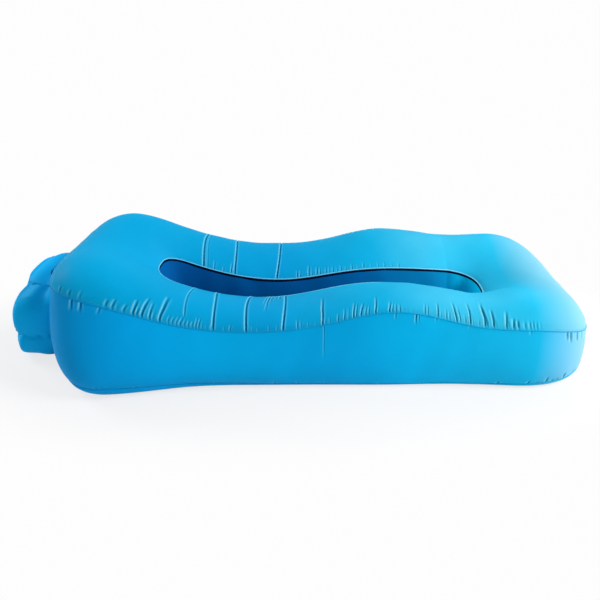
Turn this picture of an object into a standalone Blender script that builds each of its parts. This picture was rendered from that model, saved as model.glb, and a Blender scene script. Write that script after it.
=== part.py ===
"""An air lounger: a sewn fabric chamber with a crowned top, a long open well down its middle,
and a filling sleeve at the head whose rolled mouth is clipped shut with a side-release buckle.
Metres, +Z up. The head is at -X, the foot at +X, and the near side at -Y.
The origin is on the floor under the middle of the whole length."""

import math

import bmesh
import bpy
import numpy as np

# Overall plan of the chamber: a straight spine with a rounded fan of sections at each end
SPINE_HEAD_X = -0.382
SPINE_FOOT_X = 0.591
BODY_CENTRE_X = 0.115
HALF_SPAN = 0.92
HEAD_REACH = 0.396
FOOT_REACH = 0.411
WAIST_HALF_WIDTH = 0.364
SEAM_HEIGHT = 0.300
RIM_HEIGHT = 0.300
CROWN = 0.100
SLOT_HALF_WIDTH = 0.090
RIM_OVERHANG = 0.100
CORNER_POWER = 4.0
SLOT_CORNER_POWER = 2.8

# Shares of the sizes above, from head to foot at even steps
HALF_WIDTH_SHARES = (1.025, 1.005, 1.0, 1.0, 1.046, 1.088)
SEAM_HEIGHT_SHARES = (1.045, 0.992, 0.77, 0.686, 0.768, 0.922, 0.78, 0.714, 0.51)
RIM_HEIGHT_SHARES = (0.938, 0.665, 0.615, 0.751, 0.754, 0.619)
CROWN_SHARES = (0.85, 0.62, 0.43, 0.34, 0.695, 0.80)
SLOT_WIDTH_SHARES = (1.03, 0.83, 0.68, 1.16)
CROWN_FULL_BAND = 0.300
CROWN_LEAST_SHARE = 0.5
CROWN_MOST_SHARE = 1.6
CROWN_OUTWARD_POWER = 0.8
CROWN_FULLNESS_POWER = 0.8

# How far the side bulges past the top seam, and where the bottom seam runs
SIDE_BULGE = 0.020
SIDE_BULGE_SHARES = (1.5, 1.6, 1.2, 1.0, 0.9, 0.3)
HEAD_BULGE = 0.025
FOOT_BULGE = 0.005
BULGE_LOW_POWER = 0.75
BASE_OUTREACH = 0.090
BASE_OUTREACH_SHARES = (0.95, 1.05, 0.36, 0.08, 0.0, -0.05, -0.18, 0.04, 0.06)
HEAD_END_OUTREACH = -0.020
FOOT_END_OUTREACH = 0.002
BASE_SEAM_HEIGHT = 0.040
BASE_SEAM_SHARES = (1.3, 1.1, 0.5, 0.3, 0.4, 0.9)
HEAD_BASE_SEAM_HEIGHT = 0.060
FOOT_BASE_SEAM_HEIGHT = 0.036
FOOT_END_DIP = 0.012
END_START_SHARE = 0.40
END_FULL_SHARE = 0.95
BASE_CURVE_MARGIN = 0.010
BASE_CURVE_RATIO = 1.3
SLOT_WALL_BULGE = 0.016

# Fabric, seams and clearances
FABRIC = 0.001
SEAM_RADIUS = 0.002
SEAM_PULL = 0.0029
RIM_RADIUS = 0.003
RIM_PULL = 0.0040
SEAT_GAP = 0.0003
MERGE_DISTANCE = 0.00003

# Filling sleeve
SLEEVE_HALF_WIDTH = 0.190
SLEEVE_LENGTH = 0.180
SLEEVE_SWELL = 0.028
SLEEVE_LIP = 0.008
SLEEVE_TOP_DROP = 0.020
MOUTH_HALF_WIDTH = 0.112
MOUTH_HALF_HEIGHT = 0.006
SLEEVE_TOP_POWER = 0.60
SLEEVE_LOW_POWER = 0.30
NECK_HALVINGS = 40

# Level folds between the sleeve's lobes
FOLD_HEIGHT_SHARES = (0.28, 0.87)
LOBE_TOP_SHARE = 0.957
FOLDED_RINGS = 6
FOLD_END_SHARES = (0.05, 0.24)
FOLD_SIDE_SHARE = 0.05
LOBE_POWER = 0.6

# Cross-sections of the sleeve: shares of its length, full half width and height (low, high)
SLEEVE_RING_SHARES = (
    (0.22, 0.97, 0.00, 0.98),
    (0.50, 1.00, 0.00, 0.965),
    (0.72, 0.98, 0.00, 0.95),
    (0.87, 0.93, 0.00, 0.915),
    (0.935, 0.89, 0.00, 0.84),
    (0.945, 0.80, 0.04, 0.74),
    (0.935, 0.74, 0.13, 0.56),
    (0.90, 0.71, 0.165, 0.455),
    (0.81, 0.65, 0.18, 0.395),
)

# Rolled mouth: an oval roll bent into a flat loop, its ends held by the buckle
ROLL_HEIGHT_SHARE = 0.27
ROLL_HEIGHT = ROLL_HEIGHT_SHARE * SEAM_HEIGHT
ROLL_HALF_THICKNESS = 0.012
ROLL_HALF_HEIGHT = 0.024
ROLL_BEND_RADIUS = 0.020
ROLL_STRAIGHT_HALF = 0.118
ROLL_END_Y = 0.052
ROLL_REACH = 0.154
ROLL_MIDDLE_X = SPINE_HEAD_X - HEAD_REACH - ROLL_REACH
ROLL_END_X = ROLL_MIDDLE_X - 2.0 * ROLL_BEND_RADIUS
BORE_HALF_THICKNESS = 0.0013
BORE_HALF_HEIGHT = 0.0136
ROLL_POWER = 1.0
BORE_POWER = 0.12

# Webbing and buckle
STRAP_WIDTH = 0.025
STRAP_THICKNESS = 0.0012
LEAST_MITRE = 0.6
BUCKLE_Y = -0.014
BUCKLE_WIDTH = 0.034
SOCKET_LENGTH = 0.034
SOCKET_THICKNESS = 0.012
SOCKET_WALL = 0.0018
SOCKET_DEPTH = 0.026
WINDOW_START = 0.012
WINDOW_END = 0.0245
WINDOW_THICKNESS = 0.0068
FRAME_LENGTH = 0.012
FRAME_THICKNESS = 0.005
STRAP_SLOT_LENGTH = 0.0055
STRAP_SLOT_WIDTH = 0.0275
BAR_LENGTH = 0.0035
PLUG_LENGTH = 0.0175
TONGUE_WIDTH = 0.006
TONGUE_THICKNESS = 0.004
TONGUE_LENGTH = 0.022
PRONG_PIVOT_Z = 0.0105
PRONG_ARM_WIDTH = 0.0022
PRONG_THICKNESS = 0.006
PRONG_LENGTH = 0.0235
BARB_START = 0.0125
BARB_TOP_Z = 0.0166
BUCKLE_ROUND = 0.0006

# Webbing loop at the far foot corner
LOOP_TURN = math.radians(16.0)
LOOP_STAND_OFF = 0.012
LOOP_WIDTH = 0.020
LOOP_ANGLE = math.radians(42.0)

# Mesh counts
SIDE_STEPS = 20
CORNER_STEPS = 5
NECK_STEPS = 6
FOOT_HALF_STEPS = 8
TOP_ROWS = 8
WALL_ROWS = 6
SLOT_ROWS = 4
FLAT_ROWS = 2
CURVE_ROWS = 3
SLEEVE_ROWS = 15
ROLL_SIDES = 16
ROLL_BEND_STEPS = 8
STRAP_TURN_STEPS = 6
LOOP_STEPS = 12
PROFILE_SAMPLES = 61

COLLECTION_NAME = "air_lounger"
CUTTER_COLLECTION_NAME = "air_lounger_cutters"

SKY_BLUE = (0.004, 0.42, 0.75, 1.0)
WALL_BLUE = (0.003, 0.34, 0.66, 1.0)
DEEP_BLUE = (0.002, 0.075, 0.26, 1.0)
SEAM_BLUE = (0.003, 0.28, 0.56, 1.0)
SLEEVE_BLUE = (0.002, 0.24, 0.52, 1.0)
ROLL_NAVY = (0.005, 0.035, 0.130, 1.0)
WEBBING_NAVY = (0.006, 0.014, 0.045, 1.0)
BUCKLE_BLACK = (0.012, 0.012, 0.014, 1.0)


def clear_scene():
    for item in list(bpy.data.objects):
        bpy.data.objects.remove(item, do_unlink=True)


def new_collection(name, shown):
    collection = bpy.data.collections.new(name)
    bpy.context.scene.collection.children.link(collection)
    collection.hide_render = not shown
    return collection


def new_material(name, color, roughness, sheen=0.0):
    material = bpy.data.materials.new(name)
    material.use_nodes = True
    shader = material.node_tree.nodes["Principled BSDF"]
    shader.inputs["Base Color"].default_value = color
    shader.inputs["Roughness"].default_value = roughness
    shader.inputs["Metallic"].default_value = 0.0
    shader.inputs["Sheen Weight"].default_value = sheen
    material.diffuse_color = color
    return material


def add_object(name, data, collection, material):
    item = bpy.data.objects.new(name, data)
    collection.objects.link(item)
    if material is not None:
        data.materials.append(material)
    return item


def even_curve(start, end, values):
    """A smooth curve through values at even steps from start to end: one cubic for each step,
    with slope and bend continuous, and the same cubic over the first two and the last two."""
    heights = np.array(values, float)
    count = len(heights)
    step = (end - start) / (count - 1)
    matrix = np.zeros((count, count))
    right = np.zeros(count)
    matrix[0, :3] = (1.0, -2.0, 1.0)
    matrix[-1, -3:] = (1.0, -2.0, 1.0)
    for row in range(1, count - 1):
        matrix[row, row - 1 : row + 2] = (1.0, 4.0, 1.0)
        right[row] = 6.0 * (heights[row - 1] - 2.0 * heights[row] + heights[row + 1]) / step**2
    bends = np.linalg.solve(matrix, right)

    def value(place):
        place = np.asarray(place, float)
        cell = np.clip(np.floor((place - start) / step).astype(int), 0, count - 2)
        after = (place - start) / step - cell
        before = 1.0 - after
        bend = (before**3 - before) * bends[cell] + (after**3 - after) * bends[cell + 1]
        return before * heights[cell] + after * heights[cell + 1] + bend * step**2 / 6.0

    return value


def span_curve(size, shares):
    low = BODY_CENTRE_X - HALF_SPAN
    high = BODY_CENTRE_X + HALF_SPAN
    return even_curve(low, high, [size * share for share in shares])


half_width = span_curve(WAIST_HALF_WIDTH, HALF_WIDTH_SHARES)
seam_height = span_curve(SEAM_HEIGHT, SEAM_HEIGHT_SHARES)
crown_height = span_curve(CROWN, CROWN_SHARES)
side_bulge = span_curve(SIDE_BULGE, SIDE_BULGE_SHARES)
base_outreach = span_curve(BASE_OUTREACH, BASE_OUTREACH_SHARES)
base_seam_height = span_curve(BASE_SEAM_HEIGHT, BASE_SEAM_SHARES)
rim_height = even_curve(
    SPINE_HEAD_X - RIM_OVERHANG,
    SPINE_FOOT_X + RIM_OVERHANG,
    [RIM_HEIGHT * share for share in RIM_HEIGHT_SHARES],
)
slot_half_width = even_curve(
    SPINE_HEAD_X, SPINE_FOOT_X, [SLOT_HALF_WIDTH * share for share in SLOT_WIDTH_SHARES]
)


class Sections:
    """Upright half-sections of the chamber. Each starts at a point of the spine and runs
    out along a level direction: square to the spine on the sides, and fanned at the ends."""

    def __init__(self, spine_x, direction_x, direction_y):
        self.spine_x = np.asarray(spine_x, float)
        self.direction_x = np.asarray(direction_x, float)
        self.direction_y = np.asarray(direction_y, float)
        reach = np.where(self.direction_x < 0.0, HEAD_REACH, FOOT_REACH)
        across = half_width(self.spine_x)
        along_part = np.abs(self.direction_x / reach) ** CORNER_POWER
        across_part = np.abs(self.direction_y / across) ** CORNER_POWER
        self.outer = (along_part + across_part) ** (-1.0 / CORNER_POWER)
        squareness = np.abs(self.direction_x) ** SLOT_CORNER_POWER
        squareness = squareness + np.abs(self.direction_y) ** SLOT_CORNER_POWER
        self.slot = slot_half_width(self.spine_x) * squareness ** (-1.0 / SLOT_CORNER_POWER)
        seam_x = self.spine_x + self.direction_x * self.outer
        rim_x = self.spine_x + self.direction_x * self.slot
        self.rim_z = rim_height(rim_x)
        turned = (np.abs(self.direction_x) - END_START_SHARE) / (END_FULL_SHARE - END_START_SHARE)
        turned = np.clip(turned, 0.0, 1.0)
        end_share = turned**2 * (3.0 - 2.0 * turned)
        at_head = self.direction_x < 0.0
        end_bulge = np.where(at_head, HEAD_BULGE, FOOT_BULGE)
        end_outreach = np.where(at_head, HEAD_END_OUTREACH, FOOT_END_OUTREACH)
        end_seam = np.where(at_head, HEAD_BASE_SEAM_HEIGHT, FOOT_BASE_SEAM_HEIGHT)
        side_share = 1.0 - end_share
        self.seam_z = seam_height(seam_x) - np.where(at_head, 0.0, FOOT_END_DIP) * end_share
        self.bulge = side_bulge(seam_x) * side_share + end_bulge * end_share
        outreach = base_outreach(seam_x) * side_share + end_outreach * end_share
        self.base = self.outer + outreach
        self.base_z = base_seam_height(seam_x) * side_share + end_seam * end_share

    def points(self, distance, height):
        """Rows of world points from each section's distances and heights."""
        x = self.spine_x[:, None] + self.direction_x[:, None] * distance
        y = self.direction_y[:, None] * distance
        return np.stack([x, y, height], axis=-1)

    def top_profile(self, shares):
        """From the top seam over the crown to the slot's rim."""
        v = shares[None, :]
        band = (self.outer - self.slot)[:, None]
        distance = self.outer[:, None] - band * v
        arch = np.clip(np.sin(math.pi * v**CROWN_OUTWARD_POWER), 0.0, 1.0)
        fullness = np.clip(band / CROWN_FULL_BAND, CROWN_LEAST_SHARE, CROWN_MOST_SHARE)
        place_x = self.spine_x[:, None] + self.direction_x[:, None] * distance
        rise = crown_height(place_x) * arch**CROWN_FULLNESS_POWER * fullness
        height = self.seam_z[:, None] * (1.0 - v) + self.rim_z[:, None] * v + rise
        return self.points(distance, height)

    def wall_profile(self, shares):
        """From the bottom seam out over the bulge to the top seam."""
        v = shares[None, :]
        swell = np.sin(math.pi * v**BULGE_LOW_POWER)
        distance = self.base[:, None] * (1.0 - v) + self.outer[:, None] * v
        distance = distance + self.bulge[:, None] * swell
        height = self.base_z[:, None] * (1.0 - v) + self.seam_z[:, None] * v
        return self.points(distance, height)

    def slot_profile(self, shares):
        """From the slot's rim down to the base, bowed into the well."""
        v = shares[None, :]
        distance = self.slot[:, None] - SLOT_WALL_BULGE * np.sin(math.pi * v)
        low = FABRIC + SEAT_GAP + SEAM_RADIUS
        height = self.rim_z[:, None] * (1.0 - v) + low * v
        return self.points(distance, height)

    def base_profile(self, flat_shares, curve_shares):
        """From the spine out along the floor, then up a quarter ellipse to the bottom seam."""
        run = self.base_z[:, None] * BASE_CURVE_RATIO + BASE_CURVE_MARGIN
        flat_end = self.base[:, None] - run
        flat = flat_end * flat_shares[None, :]
        turn = 0.5 * math.pi * curve_shares[None, :]
        distance = np.hstack([flat, flat_end + run * np.sin(turn)])
        height = np.hstack([np.zeros_like(flat), self.base_z[:, None] * (1.0 - np.cos(turn))])
        return self.points(distance, height)


def neck_angle():
    """The head fan's angle, from the side, at which the outline is the sleeve's half width
    from the spine."""
    low = 0.0
    high = 0.5 * math.pi
    for _ in range(NECK_HALVINGS):
        middle = 0.5 * (low + high)
        section = Sections([SPINE_HEAD_X], [-math.sin(middle)], [math.cos(middle)])
        if section.outer[0] * math.cos(middle) > SLEEVE_HALF_WIDTH:
            low = middle
        else:
            high = middle
    return low


NECK_ANGLE = neck_angle()
RIGHT_ANGLE = 0.5 * math.pi


def head_fan(angles, side):
    """Sections at angles from the side towards the head's middle. side is -1 near, 1 far."""
    angles = np.asarray(angles, float)
    return np.full_like(angles, SPINE_HEAD_X), -np.sin(angles), side * np.cos(angles)


def foot_fan(angles, side):
    angles = np.asarray(angles, float)
    return np.full_like(angles, SPINE_FOOT_X), np.sin(angles), side * np.cos(angles)


def side_run(side):
    """Sections square to the spine, from head to foot."""
    x = np.linspace(SPINE_HEAD_X, SPINE_FOOT_X, SIDE_STEPS + 1)
    return x, np.zeros_like(x), np.full_like(x, side)


def joined(*runs):
    return Sections(*[np.concatenate(column) for column in zip(*runs)])


def reversed_run(run):
    return tuple(column[::-1] for column in run)


def ring_sections():
    """Sections all round the chamber: near side to the foot, round it, back along the far
    side and round the head. The neck's two edges and its middle are among them."""
    corner = np.linspace(0.0, NECK_ANGLE, CORNER_STEPS + 1)
    foot = np.linspace(0.0, RIGHT_ANGLE, FOOT_HALF_STEPS + 1)
    neck = np.linspace(NECK_ANGLE, RIGHT_ANGLE, NECK_STEPS // 2 + 1)
    return joined(
        side_run(-1.0),
        foot_fan(foot[1:], -1.0),
        foot_fan(foot[::-1][1:-1], 1.0),
        reversed_run(side_run(1.0)),
        head_fan(corner[1:], 1.0),
        head_fan(neck[1:], 1.0),
        head_fan(neck[::-1][1:], -1.0),
        head_fan(corner[::-1][1:-1], -1.0),
    )


def wall_sections(side):
    """Sections of one side wall, from the neck to the foot's middle, each end pulled back
    from its seam."""
    end_pull = SEAM_PULL / HEAD_REACH
    corner = np.linspace(0.0, NECK_ANGLE, CORNER_STEPS + 1)
    corner[-1] -= end_pull
    foot = np.linspace(0.0, RIGHT_ANGLE, FOOT_HALF_STEPS + 1)
    foot[-1] -= end_pull
    return joined(
        head_fan(corner[::-1][:-1], side), side_run(side), foot_fan(foot[1:], side)
    )


def trimmed(dense, count, start_pull, end_pull):
    """Each row of points walked at count + 1 even steps, leaving out a length at each end."""
    steps = np.linalg.norm(np.diff(dense, axis=1), axis=2)
    walked = np.concatenate([np.zeros((len(dense), 1)), np.cumsum(steps, axis=1)], axis=1)
    rows = []
    for line, along in zip(dense, walked):
        places = np.linspace(start_pull, along[-1] - end_pull, count + 1)
        rows.append(np.stack([np.interp(places, along, line[:, axis]) for axis in range(3)], 1))
    return np.array(rows)


def grid_mesh(name, rows, closed_rows, merge=False):
    """A sheet from a grid of points. rows[i][j] faces outwards when i runs anticlockwise
    round the chamber and j runs up its outside."""
    count, width = rows.shape[:2]
    faces = []
    for i in range(count if closed_rows else count - 1):
        after = (i + 1) % count
        for j in range(width - 1):
            faces.append(
                (i * width + j, after * width + j, after * width + j + 1, i * width + j + 1)
            )
    mesh = bpy.data.meshes.new(name)
    mesh.from_pydata(rows.reshape(-1, 3).tolist(), [], faces)
    if merge:
        sheet = bmesh.new()
        sheet.from_mesh(mesh)
        bmesh.ops.remove_doubles(sheet, verts=sheet.verts, dist=MERGE_DISTANCE)
        sheet.to_mesh(mesh)
        sheet.free()
    mesh.shade_smooth()
    return mesh


def fabric_panel(name, rows, closed_rows, material, merge=False):
    """A sheet of fabric: the grid is its outer face, and the thickness goes inwards."""
    item = add_object(name, grid_mesh(name, rows, closed_rows, merge), parts, material)
    solid = item.modifiers.new("fabric", "SOLIDIFY")
    solid.thickness = FABRIC
    solid.offset = -1.0
    return item


def tube_curve(name, points, radius, cyclic, material, resolution=1):
    data = bpy.data.curves.new(name, "CURVE")
    data.dimensions = "3D"
    data.bevel_depth = radius
    data.bevel_resolution = resolution
    data.use_fill_caps = not cyclic
    spline = data.splines.new("POLY")
    spline.points.add(len(points) - 1)
    for spot, point in zip(spline.points, points):
        spot.co = (*point, 1.0)
    spline.use_cyclic_u = cyclic
    return add_object(name, data, parts, material)


def make_top_panel():
    dense = ring.top_profile(np.linspace(0.0, 1.0, PROFILE_SAMPLES))
    rows = trimmed(dense, TOP_ROWS, SEAM_PULL, RIM_PULL)
    return fabric_panel("top_panel", rows, True, sky_fabric)


def make_side_wall(name, side):
    walls = wall_sections(side)
    dense = walls.wall_profile(np.linspace(0.0, 1.0, PROFILE_SAMPLES))
    rows = trimmed(dense, WALL_ROWS, SEAM_PULL, SEAM_PULL)
    if side > 0.0:
        rows = rows[::-1]
    return fabric_panel(name, rows, False, wall_fabric)


def make_bottom_panel():
    """The base: flat on the floor, turned up at its edge. Its rows meet along the spine."""
    flat_shares = np.linspace(0.0, 1.0, FLAT_ROWS + 1)
    curve_shares = np.linspace(0.0, 1.0, PROFILE_SAMPLES)[1:]
    dense = ring.base_profile(flat_shares, curve_shares)
    flat = dense[:, : FLAT_ROWS + 1]
    curve = trimmed(dense[:, FLAT_ROWS:], CURVE_ROWS, 0.0, SEAM_PULL)
    rows = np.concatenate([flat, curve[:, 1:]], axis=1)
    return fabric_panel("bottom_panel", rows, True, wall_fabric, merge=True)


def make_slot_wall():
    dense = ring.slot_profile(np.linspace(0.0, 1.0, PROFILE_SAMPLES))
    rows = trimmed(dense, SLOT_ROWS, RIM_PULL, SEAM_PULL)
    return fabric_panel("slot_wall", rows, True, deep_fabric)


def seam_line(sections, height_share):
    """The line of the top seam (1) or the bottom seam (0)."""
    return sections.wall_profile(np.array([height_share]))[:, 0]


def upright_line(section):
    """The line up one section of the wall, stopped short of the top and bottom seams."""
    dense = section.wall_profile(np.linspace(0.0, 1.0, PROFILE_SAMPLES))
    return trimmed(dense, WALL_ROWS, SEAM_PULL, SEAM_PULL)[0]


def upright_seam(name, section):
    return tube_curve(name, upright_line(section), SEAM_RADIUS, False, seam_fabric)


def make_seams():
    tube_curve("top_seam", seam_line(ring, 1.0), SEAM_RADIUS, True, seam_fabric)
    tube_curve("bottom_seam", seam_line(ring, 0.0), SEAM_RADIUS, True, seam_fabric)
    rim = ring.slot_profile(np.array([0.0]))[:, 0]
    tube_curve("slot_rim_binding", rim, RIM_RADIUS, True, seam_fabric)
    base = ring.slot_profile(np.array([1.0]))[:, 0]
    tube_curve("slot_base_seam", base, SEAM_RADIUS, True, deep_seam)
    upright_seam("foot_joint_seam", Sections(*foot_fan([RIGHT_ANGLE], 1.0)))
    upright_seam("neck_seam_near", Sections(*head_fan([NECK_ANGLE], -1.0)))
    upright_seam("neck_seam_far", Sections(*head_fan([NECK_ANGLE], 1.0)))


def neck_outline():
    """The opening in the head's end, as a loop: along the top seam from far to near, down
    the near edge, along the bottom seam and up the far edge."""
    neck = np.linspace(NECK_ANGLE, RIGHT_ANGLE, NECK_STEPS // 2 + 1)
    end = joined(head_fan(neck, 1.0), head_fan(neck[::-1][1:], -1.0))
    top = seam_line(end, 1.0)
    bottom = seam_line(end, 0.0)[::-1]
    near_edge = upright_line(Sections(*head_fan([NECK_ANGLE], -1.0)))[::-1]
    far_edge = upright_line(Sections(*head_fan([NECK_ANGLE], 1.0)))
    return np.concatenate([top, near_edge, bottom, far_edge])


def lobe_swell(height, top):
    """Nothing at the two level folds and one in the middle of each lobe: a quarter wave below
    the low fold, half a wave between the folds and a quarter wave above them, to a power."""
    low, high = (top * share for share in FOLD_HEIGHT_SHARES)
    above_share = np.clip((height - high) / (top * LOBE_TOP_SHARE - high), 0.0, 1.0)
    below = np.cos(0.5 * math.pi * height / low)
    between = np.sin(math.pi * (height - low) / (high - low))
    above = np.sin(0.5 * math.pi * above_share)
    wave = np.where(height < low, below, np.where(height < high, between, above))
    return np.clip(wave, 0.0, 1.0) ** LOBE_POWER


def make_filling_sleeve():
    """A loft from the squarish opening, out over the swell and back in to the flat mouth."""
    outline = neck_outline()
    middle_z = 0.5 * (outline[:, 2].min() + outline[:, 2].max())
    tilt = np.arctan2(
        (outline[:, 2] - middle_z) / np.ptp(outline[:, 2]), outline[:, 1] / np.ptp(outline[:, 1])
    )
    power = np.where(np.sin(tilt) < 0.0, SLEEVE_LOW_POWER, SLEEVE_TOP_POWER)
    across = np.sign(np.cos(tilt)) * np.abs(np.cos(tilt)) ** power
    along = np.sign(np.sin(tilt)) * np.abs(np.sin(tilt)) ** power
    head_x = SPINE_HEAD_X - HEAD_REACH
    full = SLEEVE_HALF_WIDTH + SLEEVE_SWELL
    top = SEAM_HEIGHT - SLEEVE_TOP_DROP
    rings = [
        (SLEEVE_LENGTH * out, full * wide, top * low, top * high)
        for out, wide, low, high in SLEEVE_RING_SHARES
    ]
    mouth_out = ROLL_REACH - ROLL_HALF_THICKNESS - SEAT_GAP
    mouth_low = ROLL_HEIGHT - MOUTH_HALF_HEIGHT
    rings.append((mouth_out, MOUTH_HALF_WIDTH, mouth_low, mouth_low + 2.0 * MOUTH_HALF_HEIGHT))
    loops = [outline - np.array([SLEEVE_LIP, 0.0, 0.0])]
    for number, (out, wide, low, high) in enumerate(rings):
        height = 0.5 * (low + high) + 0.5 * (high - low) * along
        fold = 1.0 - lobe_swell(height, top) if number < FOLDED_RINGS else np.zeros_like(height)
        depth = np.where(height < middle_z, *FOLD_END_SHARES)
        x = head_x - out * (1.0 - depth * fold)
        side = wide * across * (1.0 - FOLD_SIDE_SHARE * fold)
        loops.append(np.stack([x, side, height], axis=-1))
    swell = smooth_rows(np.array(loops).transpose(1, 0, 2), PROFILE_SAMPLES)
    dense = np.concatenate([outline[:, None], swell], axis=1)
    dense[:, :, 2] = np.maximum(dense[:, :, 2], 0.0)
    rows = trimmed(dense, SLEEVE_ROWS, SEAM_PULL, 0.0)
    return fabric_panel("filling_sleeve", rows[::-1], True, sleeve_fabric)


def smooth_rows(rows, samples):
    """Each row's few points joined by a smooth curve, read at many even steps."""
    count = rows.shape[1]
    steps = np.linspace(0.0, count - 1.0, samples)
    lines = []
    for line in rows:
        curves = [even_curve(0.0, count - 1.0, line[:, axis]) for axis in range(3)]
        lines.append(np.stack([curve(steps) for curve in curves], axis=1))
    return np.array(lines)


def roll_path():
    """The roll's middle line, level: an end beside the buckle, out round a bend, along the
    sleeve's mouth, and round the other bend to the far end. Points and level headings."""
    points = [(ROLL_END_X, -ROLL_END_Y)]
    headings = [-RIGHT_ANGLE]
    centre_x = 0.5 * (ROLL_MIDDLE_X + ROLL_END_X)
    for side in (-1.0, 1.0):
        for step in range(ROLL_BEND_STEPS + 1):
            turn = math.pi * step / ROLL_BEND_STEPS
            if side > 0.0:
                angle = turn
            else:
                angle = math.pi + turn
            points.append(
                (
                    centre_x + ROLL_BEND_RADIUS * math.cos(angle),
                    side * ROLL_STRAIGHT_HALF + ROLL_BEND_RADIUS * math.sin(angle),
                )
            )
            headings.append(angle + RIGHT_ANGLE)
    points.append((ROLL_END_X, ROLL_END_Y))
    headings.append(-RIGHT_ANGLE)
    return np.array(points), np.array(headings)


def oval_loop(thickness, height, power):
    """Points round a rounded section: half its thickness to the side, half its height up."""
    angles = 2.0 * math.pi * np.arange(ROLL_SIDES) / ROLL_SIDES
    side = thickness * np.sign(np.cos(angles)) * np.abs(np.cos(angles)) ** power
    up = height * np.sign(np.sin(angles)) * np.abs(np.sin(angles)) ** power
    return side, up


def swept_loops(points, headings, side, up):
    """A section carried along a level path, square to its heading."""
    across_x = np.sin(headings)
    across_y = -np.cos(headings)
    x = points[:, 0, None] + across_x[:, None] * side[None, :]
    y = points[:, 1, None] + across_y[:, None] * side[None, :]
    z = np.broadcast_to(ROLL_HEIGHT + up[None, :], x.shape)
    return np.stack([x, y, z], axis=-1)


def make_mouth_roll():
    """The rolled fabric: an oval section with a flat bore for the strap, carried along the
    loop, and open at both ends."""
    points, headings = roll_path()
    outer = swept_loops(
        points, headings, *oval_loop(ROLL_HALF_THICKNESS, ROLL_HALF_HEIGHT, ROLL_POWER)
    )
    inner = swept_loops(
        points, headings, *oval_loop(BORE_HALF_THICKNESS, BORE_HALF_HEIGHT, BORE_POWER)
    )
    rings = np.concatenate([outer, inner[::-1]])
    return add_object("mouth_roll", closed_sweep("mouth_roll", rings), parts, roll_fabric)


def closed_sweep(name, rings):
    """Rings joined each to the next and the last to the first, with faces turned outwards."""
    count, width = rings.shape[:2]
    faces = []
    for i in range(count):
        after = (i + 1) % count
        for j in range(width):
            beside = (j + 1) % width
            faces.append(
                (i * width + j, after * width + j, after * width + beside, i * width + beside)
            )
    mesh = outward_mesh(name, rings, faces)
    mesh.shade_smooth()
    return mesh


def capped_loft(name, edges):
    """A bar whose section's corners run along the given edges, closed at both ends."""
    rows = np.stack(edges, axis=1)
    count, width = rows.shape[:2]
    faces = [tuple(range(width)), tuple(range((count - 1) * width, count * width))]
    for i in range(count - 1):
        for j in range(width):
            beside = (j + 1) % width
            faces.append(
                (i * width + j, (i + 1) * width + j, (i + 1) * width + beside, i * width + beside)
            )
    return outward_mesh(name, rows, faces)


def outward_mesh(name, points, faces):
    mesh = bpy.data.meshes.new(name)
    mesh.from_pydata(points.reshape(-1, 3).tolist(), [], faces)
    shell = bmesh.new()
    shell.from_mesh(mesh)
    bmesh.ops.recalc_face_normals(shell, faces=shell.faces)
    shell.to_mesh(mesh)
    shell.free()
    return mesh


def strap_path():
    """The webbing's middle line, level: from a short lap, round the plug's bar, through the
    roll, round the socket's bar and back in a short lap."""
    leg = math.hypot(0.5 * FRAME_THICKNESS, 0.5 * BAR_LENGTH) + SEAT_GAP + 0.5 * STRAP_THICKNESS
    lap = STRAP_THICKNESS + SEAT_GAP
    lap_y = ROLL_END_Y - STRAP_THICKNESS
    points, _ = roll_path()
    core = [tuple(point) for point in points]

    def loop(side, bar_y):
        """One end, from its cut edge beside the roll, round the bar and back to the roll."""
        spots = [(ROLL_END_X + lap, side * lap_y), (ROLL_END_X + leg, bar_y + side * leg)]
        for step in range(STRAP_TURN_STEPS + 1):
            angle = math.pi * step / STRAP_TURN_STEPS
            spots.append(
                (ROLL_END_X + leg * math.cos(angle), bar_y - side * leg * math.sin(angle))
            )
        spots.append((ROLL_END_X - leg, bar_y + side * leg))
        return spots

    plug_bar_y = BUCKLE_Y - PLUG_LENGTH + 0.5 * BAR_LENGTH
    socket_bar_y = BUCKLE_Y + SOCKET_LENGTH + FRAME_LENGTH - 0.5 * BAR_LENGTH
    return loop(-1.0, plug_bar_y) + core + loop(1.0, socket_bar_y)[::-1]


def ribbon_outline(points, thickness):
    """A closed outline half the thickness to each side of a level path."""
    line = np.array(points, float)
    before = np.diff(line, axis=0)
    before /= np.linalg.norm(before, axis=1)[:, None]
    into = np.vstack([before[:1], before])
    out = np.vstack([before, before[-1:]])
    along = into + out
    along /= np.linalg.norm(along, axis=1)[:, None]
    widen = 1.0 / np.clip(np.sum(along * out, axis=1), LEAST_MITRE, 1.0)
    across = np.stack([along[:, 1], -along[:, 0]], axis=1) * widen[:, None]
    left = line + 0.5 * thickness * across
    right = line - 0.5 * thickness * across
    return np.vstack([left, right[::-1]])


def flat_extrusion(name, outline, height, middle_z, material):
    """A flat outline in the level plane, given a height."""
    data = bpy.data.curves.new(name, "CURVE")
    data.dimensions = "2D"
    data.fill_mode = "BOTH"
    data.extrude = 0.5 * height
    spline = data.splines.new("POLY")
    spline.points.add(len(outline) - 1)
    for spot, point in zip(spline.points, outline):
        spot.co = (point[0], point[1], 0.0, 1.0)
    spline.use_cyclic_u = True
    item = add_object(name, data, parts, material)
    item.location = (0.0, 0.0, middle_z)
    return item


def make_mouth_strap():
    outline = ribbon_outline(strap_path(), STRAP_THICKNESS)
    return flat_extrusion("mouth_strap", outline, STRAP_WIDTH, ROLL_HEIGHT, webbing)


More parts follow.
